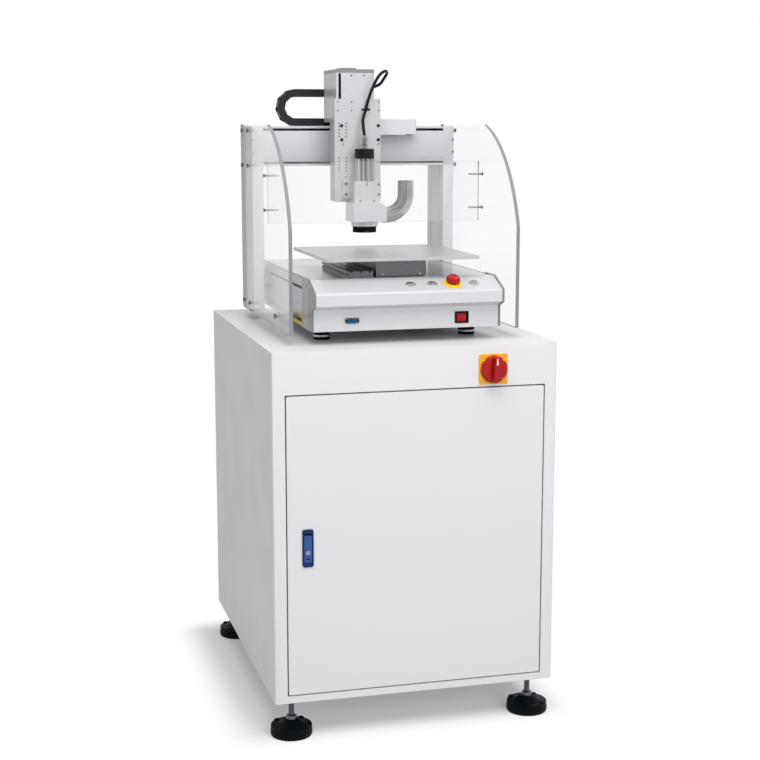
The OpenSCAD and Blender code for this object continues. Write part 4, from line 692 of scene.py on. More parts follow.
# Painted shade: black strips laid inside the side T-slots stand for the shade in them; a thin strip along the top
# edge of each side marks the joint between the deck and the side.
shell = bmesh.new()
for s in (-1, 1):
    x = s * sides_high.x * 1000
    for in_low, z_low, in_high, z_high in side_slot_shade_and_joint_strips:
        low, high = x - s * in_low, x - s * in_high
        prism(shell, [(low, z_low), (high, z_low), (high, z_high), (low, z_high)], -sides_high.y * 1000,
              -sides_low.y * 1000, front_face(0, 0, 0))
mounted("base_side_slot_shade_and_joint_strips", shell, black_nylon, "base_sides")
dressed("base_tray", powder_coat("light_grey_powder_coat", "#d4d4d7", rough=0.36, peel_mm=1.2))


# ---- Fasteners ----
# Socket-head screws hold the end caps, guards and plates. Each is a turned steel head with a broached hexagon.
def group_of(name, sizes):
    """A geometry tree with one input for each size, an input for the finish, and its group input's sockets."""
    tree = bpy.data.node_groups.new(name, "GeometryNodeTree")
    tree.interface.new_socket("Geometry", in_out="INPUT", socket_type="NodeSocketGeometry")
    for size, kind in sizes.items():
        tree.interface.new_socket(size, in_out="INPUT", socket_type="NodeSocket" + kind)
    tree.interface.new_socket("Finish", in_out="INPUT", socket_type="NodeSocketMaterial")
    tree.interface.new_socket("Geometry", in_out="OUTPUT", socket_type="NodeSocketGeometry")
    return tree, put(tree, "NodeGroupInput").outputs


def ends_with(tree, piece, angles, given):
    """Ends a tree: the piece stands on each point at these angles, as real geometry with its finish."""
    turn = put(tree, "FunctionNodeEulerToRotation", Euler=angles)
    pieces = put(tree, "GeometryNodeInstanceOnPoints", Points=given["Geometry"], Instance=piece, Rotation=turn)
    real = put(tree, "GeometryNodeRealizeInstances", Geometry=pieces)
    done = put(tree, "GeometryNodeSetMaterial", Geometry=real, Material=given["Finish"])
    put(tree, "NodeGroupOutput", Geometry=done)


def grown(tree, name, spots, material, sizes, turns=None):
    """Runs a geometry tree on a list of points and returns the plain mesh object."""
    mesh = bpy.data.meshes.new(name)
    mesh.from_pydata([tuple(spot) for spot in spots], [], [])
    if turns:
        mesh.attributes.new("turn", "FLOAT", "POINT").data.foreach_set("value", turns)
    thing = bpy.data.objects.new(name, mesh)
    bpy.context.scene.collection.objects.link(thing)
    grow = thing.modifiers.new("grow", "NODES")
    grow.node_group = tree
    values = {**sizes, "Finish": material}
    for item in tree.interface.items_tree:
        if item.in_out == "INPUT" and item.name in values:
            grow[item.identifier] = values[item.name]
    thing.update_tag()
    result = bpy.data.meshes.new_from_object(thing.evaluated_get(bpy.context.evaluated_depsgraph_get()))
    thing.modifiers.clear()
    thing.data = result
    result.name = name
    return thing


screw_tree, given = group_of("socket_screws", {"Head diameter": "Float", "Head height": "Float",
                                               "Socket width": "Float", "Facing": "Vector"})
half = maths(screw_tree, "MULTIPLY", given["Head diameter"], 0.5)
crown = maths(screw_tree, "MULTIPLY", half, 0.86)
head = put(screw_tree, "GeometryNodeMeshCone", Vertices=20, Radius_Top=crown, Radius_Bottom=half,
           Depth=given["Head height"])
socket = put(screw_tree, "GeometryNodeMeshCylinder", Vertices=6,
             Radius=maths(screw_tree, "MULTIPLY", given["Socket width"], 0.577),
             Depth=maths(screw_tree, "MULTIPLY", given["Head height"], 1.4))
lifted = put(screw_tree, "ShaderNodeCombineXYZ", Z=given["Head height"])
socket = put(screw_tree, "GeometryNodeTransform", Geometry=socket, Translation=lifted)
cut = put(screw_tree, "GeometryNodeMeshBoolean", {"operation": "DIFFERENCE"}, _0=head, _1=socket)
ends_with(screw_tree, cut, given["Facing"], given)
to_front, to_left, to_right = (math.pi / 2, 0, 0), (0, -math.pi / 2, 0), (0, math.pi / 2, 0)
dark_steel = zinc_plated("black_oxide_steel", "#4a4a4e", rough=0.34)


def screwed(name, spots, node, diameter, height, key, steel=dark_steel, facing=to_front):
    """A set of socket screws, in millimetres, on the piece that a CAD node stands for."""
    sizes = {"Head diameter": diameter / 1000, "Head height": height / 1000, "Socket width": key / 1000,
             "Facing": facing}
    return carried(grown(screw_tree, name, spots, steel, sizes), node, instead=False)


cap_screws = [(-249, 954), (-249, 870), (-211, 954), (-211, 870), (-310, 930)]
for name, x, facing in (("left", -206.9, to_left), ("right", 206.9, to_right)):
    screwed("end_cap_screws_" + name, [at(x, y, z) for y, z in cap_screws], "base_end_caps", 4.6, 1.2, 2.4,
            facing=facing)


# ---- Side label ----
# A yellow vinyl field stuck to the lower part of the base's left side, with a plain black bar and no words.
label_face = surface(at(-204, -131, 873.5), (0, -1, 0), (0, 0, 1))
shell = bmesh.new()
prism(shell, rounded(122, 24, 2.5), 0, 0.25, label_face)
mounted("blank_yellow_label", shell, glossy("yellow_vinyl", "#dfc21c", rough=0.35, coat=0.1), "base_sides")
shell = bmesh.new()
prism(shell, rounded(104, 8, 0.8), 0.2, 0.35, label_face)
mounted("blank_black_bar", shell, black_nylon, "base_sides")


# ---- Push buttons ----
# Three stainless push buttons in turned stainless bezels on the sloped panel. Each has a plain sign of a few
# curved strokes pressed into its head.
slope = math.atan2(24, 58)
slope_up = Vector((0, math.cos(slope), math.sin(slope)))
slope_out = Vector((0, -math.sin(slope), math.cos(slope)))
panel_middle = (-293, 956)
button_signs = {"button_start": (8, [(30, 95), (118, 185)]),
                "button_pause": (56, [(20, 62), (112, 160), (196, 232), (300, 336)]),
                "button_reset": (150, [(10, 55), (80, 105), (128, 172), (255, 290)])}


def on_panel(x):
    """The matrix of the sloped panel's face, with its origin on the panel's middle line at x."""
    return surface(at(x, *panel_middle), (1, 0, 0), slope_up)


satin_steel = zinc_plated("satin_stainless_steel", "#f0efec", rough=0.42, grain_mm=2.0)
dark_inlay = moulded("dark_inlay", "#3a3a3c", rough=0.5)
bezels = bmesh.new()
for node, (x, arcs) in button_signs.items():
    place = on_panel(x)
    turned(bezels, [(7.9, -14), (8.8, -14), (8.8, 0), (11.5, 0), (11.5, 0.9), (10.9, 1.9), (9.6, 2.4),
                    (8.1, 2.2), (7.9, 1.6)], place.translation, facing=slope_out, closed=True)
    head = bmesh.new()
    turned(head, [(0, -8), (7.5, -8), (7.5, 3.0), (7.0, 3.5), (0, 3.6)], place.translation, facing=slope_out)
    fitted(node + "_head", head, satin_steel, node)
    sign = bmesh.new()
    for a0, a1 in arcs:
        turns = [math.radians(a0 + (a1 - a0) * k / 5) for k in range(6)]
        prism(sign, [(6.3 * math.cos(a), 6.3 * math.sin(a)) for a in turns]
              + [(2.4 * math.cos(a), 2.4 * math.sin(a)) for a in reversed(turns)], 3.3, 3.66, place)
    mounted(node + "_sign", sign, dark_inlay, node)
fitted("button_rings", bezels, satin_steel, "button_bezels")


# ---- Stop switch ----
# A mushroom head of red ABS, waisted above a flat yellow ring, with three pale arrows moulded into its crown.
stop_crown = [(15.5, 10.4), (15.2, 12.4), (14.2, 14.6), (12.4, 16.6), (9.6, 18.2), (6, 18.95), (0, 19.1)]
arrow_r = 9.6
place = on_panel(101.5)
shell = bmesh.new()
turned(shell, [(7.3, -18), (11, -18), (11, 0), (19.5, 0), (19.5, 1.8), (18.6, 2.8), (17.8, 3.0), (7.6, 3.0),
               (7.3, 2.6)], place.translation, facing=slope_out, sides=64, closed=True)
fitted("stop_switch_ring", shell, glossy("yellow_stop_ring", "#f2c714", rough=0.3), "estop_ring")
shell = bmesh.new()
turned(shell, [(0, -12), (7, -12), (7, 5.6), (7.6, 6.5), (12.4, 6.5), (14.4, 7.4), (15.3, 8.8)] + stop_crown,
       place.translation, facing=slope_out, sides=64)
fitted("stop_switch_head", shell, glossy("red_stop_head", "#a0080f", rough=0.18, coat=0.2), "estop_head")


def crown_height(r):
    """The height of the stop head's crown at a radius."""
    (r0, h0), (r1, h1) = next(pair for pair in zip(stop_crown, stop_crown[1:]) if pair[1][0] <= r)
    return h0 + (h1 - h0) * (r0 - r) / (r0 - r1)


arrows = bmesh.new()
for start in (20, 140, 260):
    rings = []
    for k in range(11):
        a = math.radians(start + 7 * k)
        half_width = 0.75 if k < 7 else 2.3 * (10 - k) / 3 + 0.02
        inner, outer = arrow_r - half_width, arrow_r + half_width
        rings.append([arrows.verts.new(place @ Vector((r * math.cos(a), r * math.sin(a), crown_height(r) + up)))
                      for r, up in ((inner, 0.22), (outer, 0.22), (outer, -0.5), (inner, -0.5))])
    capped(arrows, rings)
mounted("stop_switch_arrows", arrows, moulded("pale_red_inlay", "#d2544f", rough=0.4), "estop_head")


# ---- Power switch ----
# A snap-in rocker of glowing red polycarbonate in a black nylon bezel, with a bar for on and a ring for off.
half_tilt = 0.24
eased("rocker_bezel", black_nylon, 0.0005)
eased("rocker", glossy("red_polycarbonate", "#99060f", rough=0.2, coat=0.12), 0.0007)
rocker_low, rocker_high = ends_of("rocker")
rocker_mid = (rocker_low + rocker_high) / 2
signs = bmesh.new()
left_half = surface((rocker_mid.x - 0.0055, rocker_low.y + 0.0022, rocker_mid.z),
                    (math.cos(half_tilt), -math.sin(half_tilt), 0), (0, 0, 1))
prism(signs, rounded(3.6, 0.9, 0.4), -0.8, 0.6, left_half)
right_half = front_face(rocker_mid.x + 0.0055, rocker_low.y + 0.0008, rocker_mid.z)
drawn_ring(signs, 1.3, 2.1, -0.8, 0.4, right_half, parts=20)
mounted("rocker_signs", signs, moulded("pale_ink", "#b9503c", rough=0.4), "rocker")


# ---- Serial socket ----
# A nine-pin socket: a pressed nickel shell round blue nylon, between two nickel jack screws.
def tapered(top, bottom, high):
    """The socket's outline, wider at the top: half its width there and below, and half its height."""
    return [(top, high), (-top, high), (-bottom, -high), (bottom, -high)]


socket_low, socket_high = ends_of("serial_socket")
socket_mid = (socket_low + socket_high) / 2
socket_face = front_face(socket_mid.x, at(0, -296, 0).y, socket_mid.z)
shell = bmesh.new()
prism(shell, rounded(30.8, 12.4, 2.0), 0, 0.9, socket_face)
outer, inner = tapered(9.2, 7.9, 4.9), tapered(8.6, 7.4, 4.3)
levels = [(outer, 0.8), (outer, 4.6), (inner, 4.6), (inner, 0.8)]
join_rings(shell, [[shell.verts.new(socket_face @ Vector((u, v, h))) for u, v in line] for line, h in levels],
           closed=True)
# The shell's nickel is a darker, duller grey than the bright nickel parts.
fitted("serial_socket_shell", shell, zinc_plated("dull_grey_nickel_plate", "#808185", rough=0.3), "serial_socket",
       25)
shell = bmesh.new()
prism(shell, tapered(8.4, 7.2, 4.1), -8, 5.9, socket_face)
mounted("serial_socket_insert", shell, moulded("blue_nylon_socket", "#0d4a7c", rough=0.36), "serial_socket")
shell = bmesh.new()
for spot in [(-5.6 + 2.8 * i, 1.5) for i in range(5)] + [(-4.2 + 2.8 * i, -1.5) for i in range(4)]:
    turned(shell, [(0, -1), (0.62, -1), (0.62, 0.12), (0, 0.12)], socket_face @ Vector((*spot, 5.9)),
           facing=(0, -1, 0), sides=10)
mounted("serial_socket_pin_holes", shell, black_nylon, "serial_socket")
shell = bmesh.new()
for u in (-12.5, 12.5):
    turned(shell, [(1.2, 0.8), (2.7, 0.8), (2.7, 5.2), (2.4, 5.8), (1.2, 5.8)], socket_face @ Vector((u, 0, 0)),
           facing=(0, -1, 0), sides=6, closed=True)
mounted("serial_socket_jack_screws", shell, dark_steel, "serial_socket", 25)


# ---- Y axis ----
# Ground steel rails and a ball screw inside the base carry a folded carriage of grey anodised sheet, darkened
# in part as painted shade for the shadow it sits in under the table. A grooved bar for the position switches
# lies on the deck beside it.
dressed("y_rails", anodised("grooved_bar_grey", "#707074", rough=0.3, along=(60, 1, 60), metal=0.6))
dressed("y_drive", bright_zinc)
# The carriage's dark grey is partly painted shade for the shadow under the table.
eased("y_carriage", anodised("anodised_sheet_darkened_as_shade", "#75757a", rough=0.3, metal=0.6), 0.0006)
screwed("carriage_screws", [at(-38.5, -235, 974.5), at(45.5, -235, 974.5)], "y_carriage", 5.0, 1.6, 2.5,
        steel=bright_zinc)


# ---- Table ----
# A 7 mm plate of clear anodised tooling aluminium with a grid of tapped holes for the work holders.
table_silver = anodised("milled_table", "#cfcfd1", rough=0.34, along=(1, 50, 50), metal=0.7, streak_mm=0.8)
eased("table_plate", table_silver, 0.0005)


# ---- Gantry ----
# Two posts of drawn aluminium stand beside the base on spacers. They carry a beam of the same, whose front is
# closed by a slightly crowned cover that leaves a slot above and below it for the carriage's arms.
beam_crown = 3.2
groove_deep = 0.8
post_silver = anodised("satin_silver_post", "#dbdade", rough=0.4, along=(60, 60, 1), metal=0.2)
eased("post_left", post_silver, 0.0006)
eased("post_right", post_silver, 0.0006)
dressed("post_spacers", anodised("spacer_grey", "#a9abae", rough=0.4, along=(60, 1, 60), metal=0.5))
beam_silver = anodised("satin_silver_beam", "#c6c5c9", rough=0.4, metal=0.2)
eased("x_beam", beam_silver, 0.0008)
cover_low, cover_high = ends_of("x_beam_cover")
beam_low, post_high = ends_of("x_beam")[0], ends_of("post_right")[1]


def crowned(name, x0, x1, z0, z1, depth, grooves=()):
    """A drawn strip on the beam's front: its face swells forward between the beam's two long edges."""
    heights = [z0 + (z1 - z0) * k / 32 for k in range(33)]
    heights = sorted(heights + [g + d for g in grooves for d in (-0.05, 0.05, 0.95, 1.05)])
    outline = []
    for z in heights:
        across = (z / 1000 - beam_low.z) / (post_high.z - beam_low.z)
        swell = beam_crown * (1 - (2 * across - 1) ** 2)
        cut = groove_deep if any(g < z < g + 1 for g in grooves) else 0.0
        outline.append((cut - swell, z))
    outline += [(depth, z1), (depth, z0)]
    shell = bmesh.new()
    prism(shell, outline, x0, x1, surface((0, cover_low.y, 0), (0, 1, 0), (0, 0, 1)))
    return made(name, shell, beam_silver, 20)


half_w = cover_high.x * 1000 - 0.02
z0, z1 = cover_low.z * 1000, cover_high.z * 1000
carried(crowned("x_beam_crowned_cover", -half_w, half_w, z0, z1, 4.0, (z0 + 4, z0 + 8)), "x_beam_cover")
z0, z1 = beam_low.z * 1000 + 0.5, post_high.z * 1000 - 0.3
post_edge = post_high.x * 1000 - 0.5
carried(crowned("beam_end_left", -post_edge, -half_w - 0.1, z0, z1, 0.3), "post_left", instead=False)
carried(crowned("beam_end_right", half_w + 0.1, post_edge, z0, z1, 0.3), "post_right", instead=False)
dressed("x_rails", bright_zinc)
dressed("x_drive", bright_zinc)
screwed("beam_end_screws", [at(x, 156.3, z) for x in (-243.2, 243.2) for z in (1255, 1226)], "post_left",
        4.5, 1.4, 2.4)


# ---- X carriage ----
# A milled aluminium plate, painted light grey, with a folded cover box and its end block on the right.
eased("x_carriage", powder_coat("light_grey_enamel", "#cbcace", rough=0.34, peel_mm=1.2, depth=0.05), 0.0008)
screwed("x_plate_screws", [at(45, 140, z) for z in (1290, 1236, 1206)], "x_carriage", 5.0, 1.4, 2.6)


# ---- Drag chain ----
# Links of black nylon, each with two side plates, a pivot on each side and a wide crossbar inside and outside the
# bend. The upper run ends on the Z housing, the bend rolls, and the lower run ends at a bracket on the beam.
chain_low, chain_high = ends_of("chain_bend")
chain_w = (chain_high.y - chain_low.y) * 1000
chain_y = (chain_low.y + chain_high.y) / 2
chain_h = 18.0
link_pitch = 22.0
side_plate = 2.4
bend_r = 34.0
bend_x, bend_z = -133.0, 1330.5
bend_stops = [90, 114, 150, 186, 222, 258, 270]
link_tree, given = group_of("chain_links", {"Pitch": "Float", "Height": "Float", "Width": "Float"})


def scaled(source, factor, plus=0.0):
    """A size of the link tree: an input times a factor, plus a length."""
    return maths(link_tree, "MULTIPLY_ADD", given[source], factor, plus)


def placed(part, x, y, z, turn=(0.0, 0.0, 0.0)):
    """A part of a link, moved and turned into its place and added to the link."""
    spot = put(link_tree, "ShaderNodeCombineXYZ", X=x, Y=y, Z=z)
    part = put(link_tree, "GeometryNodeTransform", Geometry=part, Translation=spot, Rotation=turn)
    link_tree.links.new(part.outputs[0], link_parts.inputs[0])


def plain_block(x, y, z):
    """A block of a link, from its three sizes."""
    return put(link_tree, "GeometryNodeMeshCube", Size=put(link_tree, "ShaderNodeCombineXYZ", X=x, Y=y, Z=z))


link_parts = put(link_tree, "GeometryNodeJoinGeometry")
for side in (-0.5, 0.5):
    placed(plain_block(scaled("Pitch", 0.985), side_plate / 1000, scaled("Height", 1.0)),
           0.0, scaled("Width", side, -side * side_plate / 1000), 0.0)
    placed(plain_block(scaled("Pitch", 0.66), scaled("Width", 1.0, -0.0016), 0.0016),
           0.0, 0.0, scaled("Height", side, -0.0014 * side))
    pin = put(link_tree, "GeometryNodeMeshCylinder", Vertices=16, Radius=scaled("Height", 0.24), Depth=0.0032)
    placed(pin, scaled("Pitch", 0.36), scaled("Width", side, -0.0026 * side), 0.0, (math.pi / 2, 0, 0))
turn = put(link_tree, "GeometryNodeInputNamedAttribute", {"data_type": "FLOAT"}, Name="turn")
ends_with(link_tree, link_parts, put(link_tree, "ShaderNodeCombineXYZ", Y=turn), given)
chain_black = moulded("black_nylon_link", "#29292b", rough=0.42, grain_mm=1.0, shine=0.15)


def straight_links(name, x0, x1, z):
    """A straight run of links between two places on X."""
    count = round((x1 - x0) / link_pitch)
    pitch = (x1 - x0) / count
    spots = [Vector(((x0 + pitch * (i + 0.5)) / 1000, chain_y, z / 1000)) for i in range(count)]
    sizes = {"Height": chain_h / 1000, "Width": chain_w / 1000, "Pitch": pitch / 1000}
    run = grown(link_tree, name, spots, chain_black, sizes, [0.0] * count)
    return slotted(run)


upper = straight_links("chain_upper_links", bend_x, -35, bend_z + bend_r)
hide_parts("chain_upper")
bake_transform(upper)
lower = straight_links("chain_lower_links", bend_x, 10, bend_z - bend_r)
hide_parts("chain_lower")
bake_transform(lower)

shell = bmesh.new()
chain_face = front_face(0, chain_y, 0)
edge, bar_end = chain_w / 2, 0.47 * chain_w
bend_blocks = [(-9.0, 9.0, -edge, side_plate - edge, 1.0), (-9.0, 9.0, edge - side_plate, edge, 1.0),
               (-9.0, -7.2, -bar_end, bar_end, 0.55), (7.4, 9.0, -bar_end, bar_end, 0.62)]
for a0, a1 in zip(bend_stops, bend_stops[1:]):
    middle, full_turn = math.radians((a0 + a1) / 2), math.radians((a1 - a0) / 2)
    for inner, outer, y0, y1, share in bend_blocks:
        half_turn = full_turn * share
        corners = []
        for r, way in ((inner, -1), (inner, 1), (outer, 1), (outer, -1)):
            reach = (bend_r + r) * math.cos(full_turn) / math.cos(half_turn)
            a = middle + way * half_turn
            corners.append((bend_x + reach * math.cos(a), bend_z + reach * math.sin(a)))
        prism(shell, corners, -y1, -y0, chain_face)
    a = math.radians(a0 + (a1 - a0) * 0.86)
    for way in (-1, 1):
        spot = Vector((bend_x + bend_r * math.cos(a), bend_z + bend_r * math.sin(a), way * (edge + 0.1)))
        turned(shell, [(0, 0), (4.3, 0), (4.3, 2.8), (0, 2.8)], chain_face @ spot, facing=(0, way, 0), sides=16)
fitted("chain_bend_links", shell, chain_black, "chain_bend", 25)


# ---- Z housing ----
# A folded aluminium column, painted light grey, with a black brush slot for the arm of the moving plate and a
# milled cap on its motor. Two cap screws hold its front panel.
slot_in = 0.0085
slot_low, slot_high = 1131, 1404
housing_grey = powder_coat("light_grey_gloss_enamel", "#bbbabf", rough=0.3, peel_mm=1.4, depth=0.03)
eased("z_housing", housing_grey, 0.0008)
eased("z_top_cap", anodised("grey_anodised_cap", "#8c8c8f", rough=0.4, metal=0.4), 0.0008)
dressed("z_drive", bright_zinc)
house_low = ends_of("z_housing")[0]
shell = bmesh.new()
prism(shell, [(-2.9, slot_low), (2.9, slot_low), (2.9, slot_high), (-2.9, slot_high)], -3.6, -1.5,
      front_face(house_low.x + slot_in, house_low.y, 0))
mounted("z_slot_brush", shell, moulded("black_brush_strip", "#0b0b0c", rough=0.7), "z_housing")
screwed("housing_screws", [at(-27.7, 75, 1402), at(1.3, 75, 1402)], "z_housing", 3.6, 1.0, 2.0)


# ---- Z plate ----
# The moving plate is milled from cast tooling plate and clear anodised. It is drilled for several heads: steel
# set screws fill two rows of tapped holes, and four cap screws hold it to the arm.
eased("z_plate", anodised("milled_z_plate", "#bfbfc2", rough=0.42, along=(60, 60, 1), metal=0.2), 0.0006)
z_low = ends_of("z_plate")[0]


def on_plate(x, z, back=0.0):
    """A spot on the Z plate's face, in millimetres from its left and lower edges."""
    return z_low + Vector((x, back, z)) / 1000


set_screws = [on_plate(x, z, 1.2) for z in (228, 209) for x in (8, 41, 105)]
set_screws += [on_plate(x, row + 7.4 * i, 1.2) for row in (150, 71) for i in range(5) for x in (11, 27.5)]
set_screws += [on_plate(x, z, -0.7) for x, z in ((19.6, 132.7), (103.4, 132.5), (103.4, 92), (25.9, 58))]
screwed("z_plate_set_screws", set_screws, "z_plate", 3.2, 1.0, 1.7,
        steel=zinc_plated("black_set_screw", "#1d1d20", rough=0.4))
cap_spots = [on_plate(x, z, 1.6) for z in (174, 142) for x in (17, 104)]
screwed("z_plate_cap_screws", cap_spots, "z_plate", 7.4, 1.8, 4.0)


# ---- Cable tie ----
# A black nylon strap holds the cable to a white nylon block that is screwed to the Z plate.
strap_half_w, strap_half_t = 0.0019, 0.0006
tie_mid = at(0.5, 54.6, 1325)
shell = bmesh.new()
line = smooth_route([tie_mid + Vector((u, v, 0)) / 1000 for u, v in
                     ((-8.6, 6.2), (-7.0, 5.0), (-5.6, 1.5), (-4.6, -2.2), (-2.6, -4.4), (0, -5.0),
                      (2.6, -4.4), (4.6, -2.2), (5.6, 1.5), (7.0, 5.0), (12.6, 6.2))], 4)
rings = []
for i, point in enumerate(line):
    way = (line[min(i + 1, len(line) - 1)] - line[max(i - 1, 0)]).normalized()
    out = Vector((way.y, -way.x, 0)) * strap_half_t
    rings.append([shell.verts.new(point + out * o + Vector((0, 0, up * strap_half_w)))
                  for o, up in ((1, 1), (-1, 1), (-1, -1), (1, -1))])
capped(shell, rings)
prism(shell, rounded(4.6, 5.6, 0.8), -1.0, 2.6, front_face(tie_mid.x + 0.0065, tie_mid.y + 0.0036, tie_mid.z))
mounted("cable_tie", shell, black_nylon, "z_plate")
shell = bmesh.new()
prism(shell, rounded(13, 9, 1.2), 0, 2.2, front_face(tie_mid.x, z_low.y, tie_mid.z - 0.005))
mounted("cable_tie_block", shell, moulded("white_nylon", "#e6e6e4", rough=0.45), "z_plate")


# ---- Spindle clamp ----
# A block milled from aluminium, bored for the spindle and slit at the front, with ears for four cap screws.
clamp_low = ends_of("spindle_clamp")[0]
ear_x = 19.2
eased("spindle_clamp", anodised("milled_clamp", "#cbcbcd", rough=0.42, metal=0.2), 0.0008)
screwed("clamp_screws", [at(-46, 56, z) for z in (1132, 1156)], "spindle_clamp", 7.0, 2.2, 3.6)
ear_spots = [Vector((ear_x / 1000, clamp_low.y, z / 1000)) for z in (1133, 1156)]
screwed("clamp_ear_screws", ear_spots, "spindle_clamp", 5.4, 1.2, 3.0)


# ---- Spindle ----
# A water-cooled motor in a polished stainless steel tube, 45 mm thick, with a ribbed black aluminium cap and a
# nickel-plated connector for the cable. Its shaft ends in a collet nut and a 3 mm router bit.
body_r = 22.5
cap_low, cap_high = 1214, 1236
cap_ribs = [1217.2 + 3.2 * k for k in range(5)]
body_low, body_high = ends_of("spindle_body")
side_x, side_y = Vector((1, 0, 0)), Vector((0, 1, 0))


def on_axis(z=0.0):
    """A spot on the spindle's axis, at a height in millimetres."""
    return Vector(((body_low.x + body_high.x) / 2, (body_low.y + body_high.y) / 2, z / 1000))


tube_steel, tree, where = bare_finish("polished_spindle_tube_painted_reflections")
drawn = put(tree, "ShaderNodeMapping", Vector=where, Scale=(900.0, 900.0, 14.0))
streaks = noise(tree, drawn, 1.0, 3.0, Roughness=0.6)
# Painted reflections: upright dark and light bands in the tube's colour stand in for the studio's reflections on
# the polished steel.
bands = put(tree, "ShaderNodeTexNoise", {"noise_dimensions": "2D"}, Vector=where, Scale=150.0, Detail=1.0)
tint = put(tree, "ShaderNodeValToRGB", Fac=bands)
for stop, place, colour in zip(tint.color_ramp.elements, (0.38, 0.62), ("#7b7b7b", "#d6d6d6")):
    stop.position = place
    stop.color = linear(colour)
finished(tube_steel, tint, ranged(tree, streaks, 0.25, 0.75, 0.10, 0.22), streaks, 0.06, Metallic=1.0)
shell = bmesh.new()
turned(shell, [(8.2, 1088), (14, 1088), (14, 1100), (18.5, 1100), (18.5, 1106), (21.6, 1106),
               (body_r, 1107.2), (body_r, 1211.4), (21.9, 1212), (21.9, cap_low), (0, cap_low), (0, 1127),
               (8.2, 1127)], on_axis(), sides=96)
fitted("spindle_tube", shell, tube_steel, "spindle_body")

shell = bmesh.new()
rib_profile = [(0, cap_low), (21.6, cap_low), (body_r, cap_low + 0.8)]
for z in cap_ribs:
    rib_profile += [(body_r, z), (body_r - 0.4, z + 0.3), (body_r - 0.4, z + 0.9), (body_r, z + 1.2)]
rib_profile += [(body_r, cap_high - 1.4), (21, cap_high), (0, cap_high)]
turned(shell, rib_profile, on_axis(), sides=96)
fitted("spindle_black_cap", shell, moulded("black_anodised_cap", "#18181a", rough=0.34, grain_mm=1.0),
       "spindle_cap")

shell = bmesh.new()
turned(shell, [(0, cap_high), (8, cap_high), (8, 1239), (7.4, 1240), (7.4, 1245.4), (8, 1246), (8, 1247),
               (6.2, 1247.6), (5.4, 1248), (5.4, 1252), (6.1, 1252.4), (6.1, 1259.4), (5.4, 1260), (0, 1260)],
       on_axis(), sides=36)
turned(shell, [(0, 1259.5), (6.0, 1259.5), (6.5, 1260.2), (6.5, 1265.4), (5.6, 1266.4), (4.2, 1267),
               (0, 1267)], on_axis(), sides=6)
for spot in circle(on_axis(1253), side_x, side_y, 0.00605, 24):
    turned(shell, [(0, 0), (0.45, 0.3), (0.45, 5.3), (0, 5.6)], spot, sides=6)
mounted("spindle_connector", shell, nickel, "spindle_cap", 28)

shell = bmesh.new()
turned(shell, [(0, 1048), (1.1, 1048.4), (1.6, 1050), (1.6, 1062), (6.5, 1062.2), (9, 1066), (9.5, 1066.6),
               (9.5, 1077.4), (8.9, 1078), (6, 1078), (6, 1088), (8, 1088), (8, 1124), (0, 1124)], on_axis(),
       sides=36)
for spot in circle(on_axis(1067.2), side_x, side_y, 0.0088, 8):
    turned(shell, [(0, 0), (1.0, 0.2), (1.0, 9.4), (0, 9.6)], spot, sides=8)
fitted("collet_and_bit", shell, polished_steel, "spindle_shaft", 30)


# ---- Dust shroud ----
# A box milled from aluminium hangs under the clamp on a collar. A turned ring under it holds a brush of black
# nylon bristles that sweeps the board round the bit.
bristle_rings = [(22.6, 92), (24.0, 100), (25.3, 106), (26.4, 112)]
bristle_root = 1060.6
shroud_ring = [(24.5, 1060.2), (30.2, 1060.2), (31.2, 1061.4), (31.2, 1064.4), (30.6, 1065), (31.4, 1066),
               (31.4, 1071), (30.8, 1071.9), (24.5, 1071.9)]
eased("dust_shroud", anodised("satin_shroud", "#d8d8dc", rough=0.36, metal=0.35), 0.0009)
screwed("collar_screws", [at(x, 9, 1118.5) for x in (-24.5, 8.5)], "dust_shroud", 4.0, 1.2, 2.2)
shell = bmesh.new()
turned(shell, shroud_ring, on_axis(), sides=72, closed=True)
mounted("shroud_ring", shell, anodised("turned_ring", "#f0eff1", rough=0.28, along=(40, 40, 1), metal=0.6),
        "dust_shroud")

bristle_sizes = {"Length": "Float", "Root radius": "Float", "Spread": "Float", "Seed": "Int"}
bristle_tree, given = group_of("brush_bristles", bristle_sizes)
tip = maths(bristle_tree, "MULTIPLY", given["Root radius"], 0.6)
hair = put(bristle_tree, "GeometryNodeMeshCone", Vertices=4, Radius_Top=tip, Radius_Bottom=given["Root radius"],
           Depth=given["Length"])
minus = maths(bristle_tree, "MULTIPLY", given["Spread"], -1.0)
low = put(bristle_tree, "ShaderNodeCombineXYZ", X=minus, Y=minus, Z=0.0)
high = put(bristle_tree, "ShaderNodeCombineXYZ", X=given["Spread"], Y=given["Spread"], Z=6.28)
lean = put(bristle_tree, "FunctionNodeRandomValue", {"data_type": "FLOAT_VECTOR"}, _0=low, _1=high,
           Seed=given["Seed"])
upside_down = maths(bristle_tree, "ADD", lean, (math.pi, 0.0, 0.0), kind="ShaderNodeVectorMath")
ends_with(bristle_tree, hair, upside_down, given)
roots = []
for r, count in bristle_rings:
    for k in range(count):
        a = math.tau * (k + 0.37 * r) / count
        roots.append(on_axis(bristle_root) + r / 1000 * (math.cos(a) * side_x + math.sin(a) * side_y))
bristles = grown(bristle_tree, "brush_bristles", roots, moulded("black_nylon_bristle", "#101011", rough=0.5),
                 {"Length": 0.0145, "Root radius": 0.00085, "Spread": 0.045, "Seed": 7})
carried(bristles, "brush_ring")


